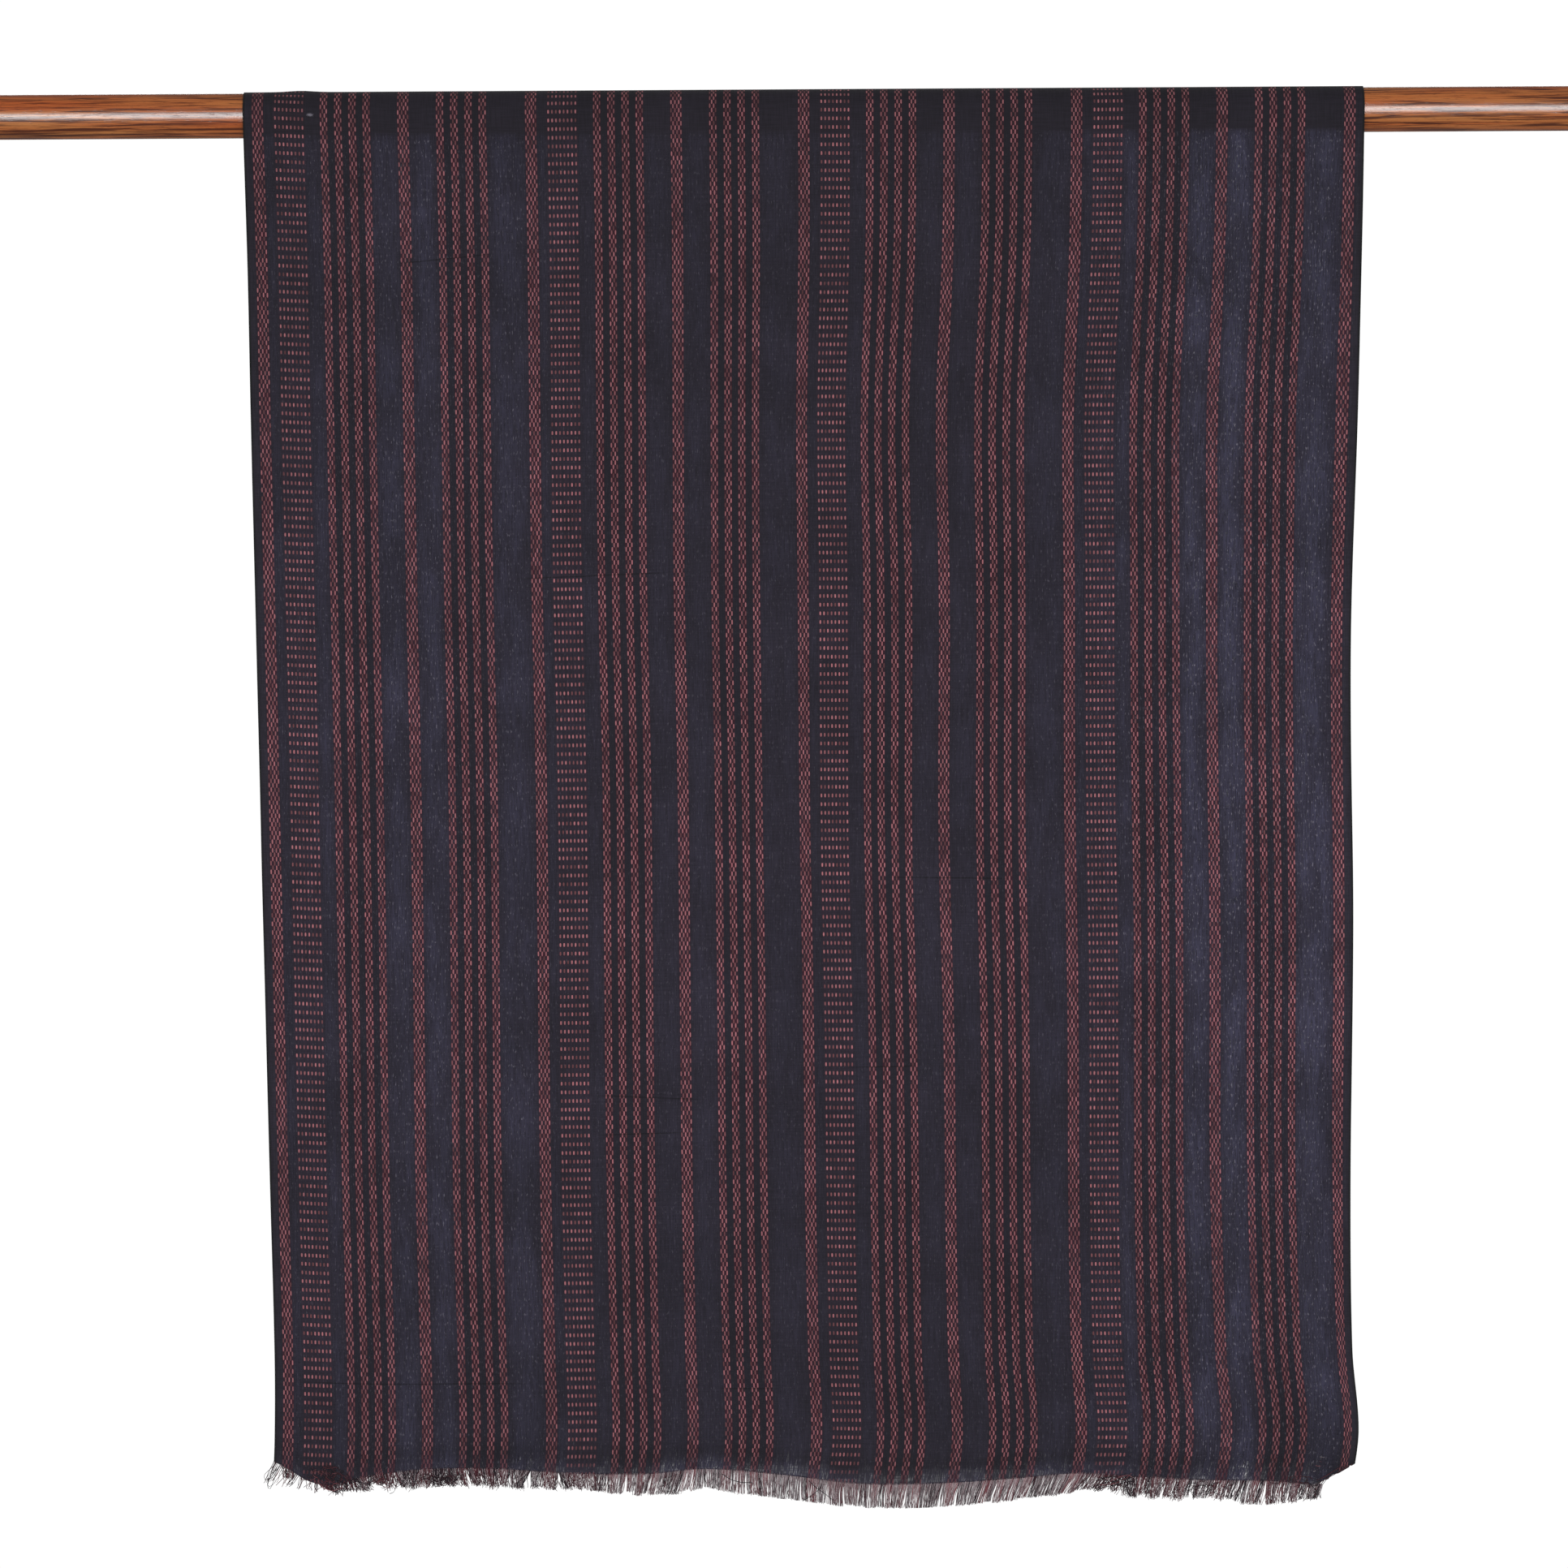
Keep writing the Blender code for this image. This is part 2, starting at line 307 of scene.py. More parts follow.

# How far the locks of the front fringe gather, how tangled they are, what share of its ends have
# another end lying over them (are missing, where negative), and what share are pale: partly
# untwisted fuzz, partly painted shade for the fringe's shadow between the ends
FRONT_LIES = table("across gather tangle crowd worn", (
    (0, 0.3, 0.7, -0.3, 0.15), (12, 0.2, 0.6, -0.6, 0.15), (28, 0.2, 0.6, -0.75, 0.1),
    (35, 0.3, 1.0, 1.0, 0.1), (90, 0.12, 1.0, 1.0, 0.3), (200, 0.1, 0.8, 1.0, 0.4),
    (240, 0.12, 0.3, 0.75, 0.6), (380, 0.04, 0.12, 0.75, 0.75), (560, 0.04, 0.12, 0.75, 0.7),
    (580, 0.25, 0.9, 1.0, 0.2), (650, 0.22, 0.6, 0.8, 0.5), (750, 0.22, 0.5, 0.8, 0.5),
))

# Gaps in the front fringe, and how far to each side its locks are parted
FRONT_GAPS = (298, 411, 488, 587)
GAP_HALF_WIDTH = 4.5

# How much locks and single ends differ at random, in mm: what a full tangle adds, and what
# they differ by on a calm hem
LOCK_LEAN = (1.8, 0.35)
LOCK_LENGTH = (0.5, 0.4)
END_LEAN = (1.1, 0.3)
END_LENGTH = (0.45, 0.315)
END_CURL = (1.33, 0.21)
END_OUT = 0.5

# Widths of the locks, how far each pulls its ends in, and how many ends stray and how far
LOCK_WIDTHS = (2.4, 8.0)
LOCK_PULLS = (0.3, 1.5)
STRAY_SHARE = 0.05
STRAY_LEAN = 4.0
END_SIDES = 3
END_RINGS = 8
SHORTEST_END = 2.5

# Ends begin this far inside the hem, in mm
ROOT_DEPTH = 0.8

# How far apart two ends' places are in the noise of their yarn, so that no two look the same
END_NOISE_STEP = 3.7

# Width of the cloth at the front hem as a share of its width as woven
LOW_SHARE = 0.963

# Single loose ends laid one by one: how rosy each is, then its places in mm from the middle of the
# rod, below its axis, and out from the layer
HAND_LAID_ENDS = (
    (0.0, ((-357, 904, 0), (-360, 909, 1), (-363, 914, 1), (-364, 918, 1), (-362, 920, 1),
           (-360, 916, 1), (-358, 910, 1))),
    (0.0, ((-356, 905, 0), (-359, 908, 1), (-362, 912, 1), (-364, 915, 2), (-363, 918, 2),
           (-360, 917, 2), (-359, 912, 1))),
    (0.6, ((-352, 908, 0), (-353, 912, 1), (-356, 915, 1), (-358, 917, 1))),
    (0.7, ((-350, 909, 0), (-350, 912, 1), (-353, 916, 1), (-354, 918, 1))),
    (0.0, ((-322, 913, 0), (-318, 918, 1), (-314, 921, 1), (-309, 921, 1), (-306, 918, 1))),
    (0.0, ((-316, 912, 0), (-313, 917, 1), (-310, 920, 1), (-304, 920, 1), (-301, 916, 1))),
    (0.9, ((-330, 914, 0), (-326, 919, 1), (-320, 921, 1), (-314, 919, 1), (-312, 914, 1))),
    (0.0, ((-285, 905, 0), (-286, 911, 1), (-284, 917, 1), (-283, 922, 1))),
    (0.8, ((-288, 905, 0), (-286, 912, 1), (-284, 918, 1), (-283, 921, 1))),
    (0.0, ((-2, 916, 0), (3, 921, 1), (9, 925, 1), (14, 929, 1), (16, 932, 1))),
    (0.0, ((8, 917, 0), (6, 921, 1), (2, 925, 1), (-3, 928, 1), (-6, 930, 1))),
    (0.0, ((-60, 911, 0), (-54, 915, 1), (-47, 917, 1), (-40, 917, 1))),
    (0.0, ((328, 917, 0), (333, 920, 1), (337, 924, 1), (340, 928, 1), (341, 930, 1))),
    (0.0, ((345, 917, -1), (342, 921, -1), (340, 925, -1), (339, 929, 0))),
    (0.0, ((343, 918, -1), (340, 922, -1), (338, 926, 0), (337, 930, 0))),
    (0.7, ((341, 919, -1), (338, 923, 0), (337, 927, 0), (336, 931, 0))),
    (0.3, ((338, 920, 0), (337, 924, 0), (337, 928, 1), (338, 931, 1))),
    (0.0, ((187, 922, 1), (194, 919, 1), (202, 917, 1), (210, 916, 1), (217, 914, 1))),
    (0.0, ((189, 924, 1), (197, 921, 1), (204, 920, 1), (211, 918, 1), (216, 917, 1))),
    (0.7, ((191, 919, 1), (198, 920, 2), (205, 918, 2), (211, 915, 1), (214, 912, 1))),
    (0.0, ((193, 915, 1), (199, 918, 2), (206, 917, 2), (213, 919, 1), (217, 920, 1))),
    (0.0, ((190, 917, 1), (196, 915, 1), (203, 914, 2), (209, 917, 2), (215, 918, 1))),
    (0.8, ((195, 922, 1), (200, 917, 2), (207, 914, 2), (212, 913, 1), (215, 915, 1))),
    (0.5, ((-332, 910, 0), (-327, 915, 2), (-321, 914, 2), (-317, 909, 2), (-321, 905, 1))),
    (0.4, ((-328, 907, 0), (-324, 912, 2), (-318, 917, 2), (-313, 913, 2), (-315, 908, 1))),
    (0.4, ((-318, 908, 0), (-312, 911, 2), (-308, 916, 2), (-312, 920, 1), (-318, 919, 1))),
    (0.0, ((-330, 913, 0), (-323, 911, 2), (-317, 914, 2), (-310, 917, 2), (-304, 914, 1))),
    (0.0, ((-326, 904, 0), (-320, 908, 2), (-314, 907, 2), (-309, 911, 2), (-312, 915, 1))),
    (0.0, ((-308, 911, 0), (-302, 915, 1), (-295, 917, 1), (-289, 914, 1), (-292, 910, 1))),
    (0.35, ((362, 907, 1), (356, 910, 1), (350, 914, 1), (344, 917, 1), (339, 920, 1))),
    (0.45, ((358, 907, 1), (352, 910, 1), (346, 914, 1), (341, 917, 1))),
    (0.3, ((354, 909, 1), (349, 912, 1), (344, 915, 1), (338, 918, 1))),
)

# How far along the end each of its places pulls on it, in steps from one place to the next
HAND_LAID_SOFTNESS = 0.55

# How far out a step of 1 in the table above is, and the front layer's low end, in mm from the
# rod's middle
HAND_LAID_OUT = 0.8
LOW_LEFT = -359.0
LOW_WIDTH = 722.0

# Knots of tangled ends: each one's middle, in mm from the rod's middle and below its axis, how
# far it reaches, how many ends are curled up in it and how rosy they are
KNOTS = table("x below half_width half_height ends rosy", (
    (-326, 910, 9.0, 6.0, 60, 0.35),
    (-312, 915, 8.0, 3.0, 24, 0.1),
    (-285, 916, 4.0, 4.0, 16, 0.45),
    (-245, 914, 16.0, 3.0, 40, 0.15),
    (201, 918, 12.0, 2.0, 30, 0.2),
    (262, 921, 20.0, 3.0, 26, 0.15),
    (322, 919, 16.0, 3.0, 24, 0.2),
))

# How ends curl in a knot: the radius in mm, how flat the curl is, the most that it turns to
# either side, in radians, and how far out it lies, in mm
KNOT_CURL = (1.2, 4.2)
KNOT_FLAT = (0.5, 1.0)
KNOT_TURN = 4.0
KNOT_OUT = (0.4, 1.8)

# How rosy ends are, from 0 for navy by 0.5 for maroon to 1 for rose: plain ones, the share of
# them that is maroon instead, those of a stripe, and what dulls a block stripe and a tangle
PLAIN_ROSY = (0.0, 0.16)
MAROON_SHARE = 0.2
MAROON = 0.5
STRIPE_ROSY = (0.45, 1.0)
BLOCK_DULLS = 1.4
TANGLE_DULLS = 0.4

# How pale a pale end is, and the share of the ends behind that are pale. Pale ends are partly
# untwisted fuzz and partly painted shade for the fringe's shadow between the ends
PALE_END = (0.25, 1.0)
PALE_END_SHARE = 0.4

# Thickness of an end as a share of the usual one, and of its tip as a share of its root
END_THICKNESS = (0.85, 1.15)
TIP_THICKNESS = 0.7


def linear(code):
    """Linear red, green and blue of an sRGB hex colour."""
    parts = [int(code[at:at + 2], 16) / 255 for at in (0, 2, 4)]
    return tuple(c / 12.92 if c <= 0.04045 else ((c + 0.055) / 1.055) ** 2.4 for c in parts)


def length_property(name, description, default):
    """A length that a user may change, in metres."""
    kind = {"subtype": "DISTANCE", "unit": "LENGTH", "min": 0.0, "precision": 5}
    return bpy.props.FloatProperty(name=name, description=description, default=default, **kind)


def share_property(name, description, default):
    """A share from 0 to 1 that a user may change."""
    kind = {"subtype": "FACTOR", "min": 0.0, "max": 1.0}
    return bpy.props.FloatProperty(name=name, description=description, default=default, **kind)


def colour_property(name, description, code):
    """A colour that a user may change, given as sRGB hex."""
    kind = {"subtype": "COLOR", "size": 3, "min": 0.0, "max": 1.0, "default": linear(code)}
    return bpy.props.FloatVectorProperty(name=name, description=description, **kind)


class ShawlClothSettings(bpy.types.PropertyGroup):
    """Sizes and colours of the woven cloth."""

    width: length_property("Width", "Width of the cloth between its selvedges", WIDTH * MM)
    wall: length_property("Thickness", "Thickness of the cloth", 0.00045)
    wrap_radius: length_property("Wrap radius", "Radius of the cloth on the rod", 0.0155)
    float_period: length_property("Float period", "Length of one float and its gap", 0.0058)
    openness: share_property("Openness", "How far the thin places are see-through", 0.36)
    navy: colour_property("Navy", "Plain cloth where the threads lie close", "221e28")
    navy_light: colour_property("Light navy", "Plain cloth on its raised threads", "2d2834")
    # Painted light: plain cloth lit from behind through its thin places
    painted_backlight_navy: colour_property("Sheer navy", "Plain cloth that light comes through", "48465d")
    navy_deep: colour_property("Deep navy", "Plain cloth between close stripes", "211e27")
    rose: colour_property("Rose", "Warp floats of the stripes", "a8696f")
    maroon: colour_property("Maroon", "Coloured warp under the weft", "401425")
    slub: colour_property("Slub", "Thick places and lint on the yarns", "9d98a6")
    selvedge: colour_property("Selvedge", "Edge threads of the cloth", "1a1b1e")


class ShawlFringeSettings(bpy.types.PropertyGroup):
    """Sizes and colours of the loose warp ends."""

    spacing: length_property("Thread spacing", "Distance between loose ends", 0.00038)
    thickness: length_property("Thread thickness", "Thickness of a loose end", 0.00058)
    length: length_property("Length", "Mean length of the loose ends", 0.0140)
    spread: length_property("Length spread", "How much longer or shorter an end may be", 0.002)
    seed: bpy.props.IntProperty(name="Seed", description="Pattern of the locks", default=7)
    navy: colour_property("Navy", "Loose ends of the plain cloth", "242029")
    maroon: colour_property("Maroon", "Tangled loose ends of the stripes", "5a2731")
    rose: colour_property("Rose", "Loose ends of the stripes", "a3686e")
    # Pale ends: partly untwisted fuzz, partly painted shade standing in for the fringe's shadow
    # between the ends
    fuzz: colour_property("Fuzz", "Worn, untwisted loose ends", "bbaeb2")


class ShawlRodSettings(bpy.types.PropertyGroup):
    """Colours of the rod's wood and varnish."""

    body: colour_property("Body", "Wood between its grain lines", "c1602b")
    pale: colour_property("Pale grain", "Lighter streaks of the wood", "ca7f43")
    dark: colour_property("Dark grain", "Dark streaks and pores", "4d1a0a")
    gloss: share_property("Varnish", "Weight of the varnish over the wood", 1.0)


class ShawlStageSettings(bpy.types.PropertyGroup):
    """Floor, light and camera."""

    distance: length_property("Camera distance", "Distance from camera to cloth", 4.0)
    view_width: length_property("View width", "Width of the view at the cloth", 1.0485)
    floor_drop: length_property("Floor drop", "Height of the rod above the floor", 1.6)
    floor_colour: colour_property("Floor", "Painted floor", "f5f4f1")


def read_table(rows, key, column, at):
    """The column's value on a smooth curve through the rows, where the key is `at`."""
    keys = np.array([getattr(row, key) for row in rows], dtype=float)
    values = np.array([getattr(row, column) for row in rows], dtype=float)
    index = np.arange(len(rows))
    low = np.maximum(index - 1, 0)
    high = np.minimum(index + 1, len(rows) - 1)
    slopes = (values[high] - values[low]) / (keys[high] - keys[low])
    row = np.clip(np.searchsorted(keys, at, side="right") - 1, 0, len(rows) - 2)
    span = keys[row + 1] - keys[row]
    t = np.clip((at - keys[row]) / span, 0.0, 1.0)
    rise = t * t * (3 - 2 * t)
    leave = t * (1 - t) ** 2 * slopes[row] * span
    arrive = t * t * (1 - t) * slopes[row + 1] * span
    return values[row] * (1 - rise) + values[row + 1] * rise + leave - arrive


def ease(value, begins, ends):
    """0 before `begins`, 1 after `ends`, and a smooth rise between them."""
    t = np.clip((value - begins) / (ends - begins), 0.0, 1.0)
    return t * t * (3 - 2 * t)


def hump(distance, half_width):
    """1 at no distance, and a soft fall to a third at the half width and to nothing beyond."""
    return np.exp(-((distance / half_width) ** 2))


def crease_depth(crease, across, below):
    """Depth of one crease at places on the cloth: full in its middle and nothing at its ends."""
    run = np.array((crease.to_across - crease.across, crease.to_below - crease.below))
    length = np.hypot(*run)
    run = run / length
    from_across = across - crease.across
    from_below = below - crease.below
    reach = from_across * run[0] + from_below * run[1]
    aside = from_below * run[0] - from_across * run[1]
    aside = aside + CREASE_WANDER * crease.half_width * np.sin(reach / WANDER_LENGTH)
    fade = np.clip(reach / length, 0.0, 1.0)
    return crease.depth * hump(aside, crease.half_width) * np.sin(pi * fade) ** 1.5


def past_corner(x, below):
    """How far each place lies past the line that the corner is turned along, and its normal."""
    line = CORNER_TO - CORNER_FROM
    line = line / np.hypot(*line)
    normal = np.array((line[1], -line[0]))
    return (x - CORNER_FROM[0]) * normal[0] + (below - CORNER_FROM[1]) * normal[1], normal


def turn_corner_back(x, below):
    """Lays what lies past the corner's line back over it, and says how far it came from it.

    The places nearest to the line are moved onto it, so that the turned edge is clean.
    """
    past, normal = past_corner(x, below)
    near = np.abs(past) < CORNER_SNAP
    back = np.where(near, past, 2 * np.maximum(past, 0.0))
    turned = np.where(near, 0.0, np.maximum(past, 0.0))
    return x - back * normal[0], below - back * normal[1], turned


class Drape:
    """Where each place on the cloth hangs."""

    def __init__(self, settings):
        self.width = settings.width / MM
        self.radius = settings.wrap_radius / MM
        self.quarter = self.radius * pi / 2

    def hem(self, side, across):
        """How far below the rod's axis a layer's hem lies, in mm."""
        return read_table(HEMS[side], "across", "below", across)

    def hang(self, side, across, below, turns=True):
        """Points of a hanging layer, in mm, as rows of x, y and z."""
        left = read_table(EDGES[side], "below", "left", below)
        right = read_table(EDGES[side], "below", "right", below)
        x = left + (right - left) * across / self.width
        held = ease(across, 0.0, HELD_STRAIGHT)
        held = held * ease(self.width - across, 0.0, HELD_STRAIGHT)
        for stray in STRAYS[side]:
            near = hump(across - stray.across, stray.half_across)
            x = x + stray.shift * held * near * hump(below - stray.below, stray.half_below)
        away = self.radius - LEAN * ease(below, LEAN_BEGINS, LEAN_ENDS)
        for fold in FOLDS[side]:
            full = ease(below, fold.begins, fold.full)
            away = away + fold.out * hump(across - fold.across, fold.half_width) * full
        for crease in CREASES[side]:
            away = away - crease_depth(crease, across, below)
        away = away + self.ripple(side, across, below)
        if side == FRONT:
            turned_x, turned_below, turned = turn_corner_back(x, below)
            x = np.where(turns, turned_x, x)
            below = np.where(turns, turned_below, below)
            gap = CORNER_GAP * ease(turned, 0.0, CORNER_ROUND)
            away = away - np.where(turns, gap, 0.0)
        return np.stack((x, side * away, -below), axis=-1)

    def ripple(self, side, across, below):
        """Small waves that grow towards the hem and the two selvedges."""
        wave = np.sin(across / 9.7 + 1.3 * np.sin(across / 31.0) + side)
        slow = np.sin(across / 17.0 + below / 90.0 + 2.0 * side)
        rim = hump(across, EDGE_WAVE_WIDTH) + hump(self.width - across, EDGE_WAVE_WIDTH)
        edge = rim * np.sin(below / 34.0 + 1.7 * np.sin(below / 83.0) + side)
        low = HEM_WAVE * ease(below, *HEM_WAVE_GROWS)
        grown = ease(below, *WAVES_GROW)
        return low * wave + SLOW_WAVE * grown * slow + EDGE_WAVE * grown * edge

    def over_rod(self, across, along):
        """Points of the stretch that lies on the rod, in mm."""
        left = FRONT_EDGES[0].left
        right = FRONT_EDGES[0].right
        x = left + (right - left) * across / self.width
        turn = along / self.radius
        lump = ROD_LUMP.out * hump(across - ROD_LUMP.across, ROD_LUMP.half_across)
        away = self.radius + lump * hump(along, ROD_LUMP.half_along)
        y = -away * np.sin(turn)
        z = away * np.cos(turn)
        return np.stack((x, y, z), axis=-1)


def list_stripes():
    """Every stripe on the cloth: its middle and half its width, in mm, and its kind."""
    stripes = []
    for repeat in range(REPEATS):
        for stripe in REPEAT_STRIPES:
            middle = FIRST_STRIPE + repeat * REPEAT + stripe.offset
            half = stripe.columns * COLUMN_PITCH * stripe.kind / 2
            if middle + half < WIDTH:
                stripes.append((middle, half, stripe.kind))
    return stripes


def list_columns(width):
    """Places across of the mesh's lines, with one on each side of every stripe."""
    lines = {0.0, SELVEDGE, width - SELVEDGE, width}
    for middle, half, kind in list_stripes():
        lines.update((middle - half, middle + half))
    lines = sorted(lines)
    columns = [lines[0]]
    for start, end in zip(lines, lines[1:]):
        widest = CORNER_COLUMN if start > CORNER_COLUMNS_FROM else COLUMN_WIDTH
        parts = max(1, int(np.ceil((end - start) / widest)))
        columns.extend(start + (end - start) * part / parts for part in range(1, parts + 1))
    return np.array(columns)


def name_cells(columns):
    """For each strip between two lines: its stripe's middle, its kind and how close it is."""
    cells = []
    for start, end in zip(columns, columns[1:]):
        middle = (start + end) / 2
        found = [(at, kind) for at, half, kind in list_stripes() if abs(middle - at) < half]
        at, kind = found[0] if found else (middle, 0)
        in_repeat = (middle - FIRST_STRIPE) % REPEAT
        close = any(low < in_repeat < high for low, high in CLOSE_STRETCHES)
        cells.append((at, kind, close))
    return np.array(cells, dtype=float)


def pick_skew(across):
    """How far the weft runs down from level, in mm: most at the left selvedge."""
    skew = SKEW * (1 - np.exp(-across / SKEW_WIDTH))
    return skew + SKEW_WAVE * np.sin(across / SKEW_WAVE_LENGTH)


def keep(mesh, name, kind, domain, values):
    """Keeps values on a mesh for its material."""
    kept = mesh.attributes.new(name, kind, domain)
    field = "value" if kind == "FLOAT" else "vector"
    kept.data.foreach_set(field, values.astype(np.float32).ravel())


def ride(piece):
    """Puts a finished piece into the scene, on the part's body."""
    bpy.context.scene.collection.objects.link(piece)
    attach(piece, BODY)
    return piece


def make_sheet(name, columns, alongs, to_hem, points, material, wall):
    """A woven sheet from a grid of points, with each place and stripe kept for its material."""
    rows = points.shape[0]
    count = len(columns)
    index = np.arange(rows * count).reshape(rows, count)
    corners = (index[:-1, :-1], index[1:, :-1], index[1:, 1:], index[:-1, 1:])
    faces = np.stack(corners, axis=-1).reshape(-1, 4)
    mesh = bpy.data.meshes.new(name)
    mesh.from_pydata((points.reshape(-1, 3) * MM).tolist(), [], faces.tolist())

    across = np.broadcast_to(columns, (rows, count))
    along = alongs - pick_skew(across)
    opened = read_table(OPENNESS, "across", "share", across)
    apart = [np.abs(columns - middle) - half for middle, half, kind in list_stripes()]
    beside = ease(np.min(apart, axis=0), *BESIDE_STRIPE)
    opened = opened * (STRIPE_OPENNESS + (1 - STRIPE_OPENNESS) * beside)
    loosened = read_table(OPENNESS, "across", "at_hem", across)
    opened = opened + loosened * ease(-to_hem, *LOOSENS)
    firm = ease(across, *FIRM) * ease(columns[-1] - across, *FIRM)
    off_rod = ease(np.abs(alongs) - ROD_RADIUS * pi / 2, *LEAVES_ROD)
    opened = opened * firm * off_rod
    place = np.stack((across, along, opened), axis=-1)
    keep(mesh, "cloth_place", "FLOAT_VECTOR", "POINT", place)

    below = np.maximum(np.abs(alongs) - ROD_RADIUS * pi / 2, 0.0)
    # Painted light and shade, kept for the material: darker near the rod and the hem, lighter in
    # the middle and in soft patches
    painted_shading = read_table(PAINTED_SHADING_DOWN, "below", "share", below)
    for patch in PAINTED_SHADING_PATCHES:
        near = hump(across - patch.across, patch.half_across)
        painted_shading = painted_shading + patch.change * near * hump(below - patch.below, patch.half_below)
    # Painted shade in a band above the hem, where the back layer's hem and fringe hang behind
    painted_shading = painted_shading - PAINTED_HEM_SHADE_DEPTH * hump(to_hem + PAINTED_HEM_SHADE, PAINTED_HEM_SHADE_WIDTH)
    faded = ease(-to_hem, *FADES)
    shading_and_fading = np.stack((painted_shading, faded, 0.0 * painted_shading), axis=-1)
    keep(mesh, "cloth_wear", "FLOAT_VECTOR", "POINT", shading_and_fading)
    cells = np.broadcast_to(name_cells(columns), (rows - 1, count - 1, 3))
    keep(mesh, "cloth_stripe", "FLOAT_VECTOR", "FACE", cells)

    mesh.materials.append(material)
    mesh.shade_smooth()
    piece = bpy.data.objects.new(name, mesh)
    thickness = piece.modifiers.new("cloth wall", "SOLIDIFY")
    thickness.thickness = wall
    thickness.offset = 0.0
    return ride(piece)


# Settings that many nodes share: a mix of colours, a soft step, and noise on a flat sheet
MIX = {"out": 2, "data_type": "RGBA"}
SOFT = {"interpolation_type": "SMOOTHSTEP"}
FLAT = {"noise_dimensions": "2D"}


def connect(node, inputs):
    """Sets inputs, given by name or in their order, to values or to other nodes' outputs."""
    if not isinstance(inputs, dict):
        inputs = dict(enumerate(inputs))
    for name, value in inputs.items():
        socket = node.inputs[name]
        if isinstance(value, bpy.types.NodeSocket):
            node.id_data.links.new(value, socket)
        elif socket.type == "RGBA":
            socket.default_value = (*value, 1.0)
        else:
            socket.default_value = value


def add_node(tree, kind, inputs=(), operation=None, out=0, **settings):
    """Adds a node with its settings and inputs, and gives back one of its outputs.

    A MapRange takes its value, then the ends of the range that it comes from and goes to.
    """
    node = tree.nodes.new(f"ShaderNode{kind}")
    if operation:
        node.operation = operation
    for name, value in settings.items():
        setattr(node, name, value)
    connect(node, inputs)
    return node.outputs[out]


def new_material(name):
    """An empty material, its Principled shader and what adds nodes beside it."""
    material = bpy.data.materials.new(name)
    material.use_nodes = True
    tree = material.node_tree
    return material, tree.nodes["Principled BSDF"], partial(add_node, tree)


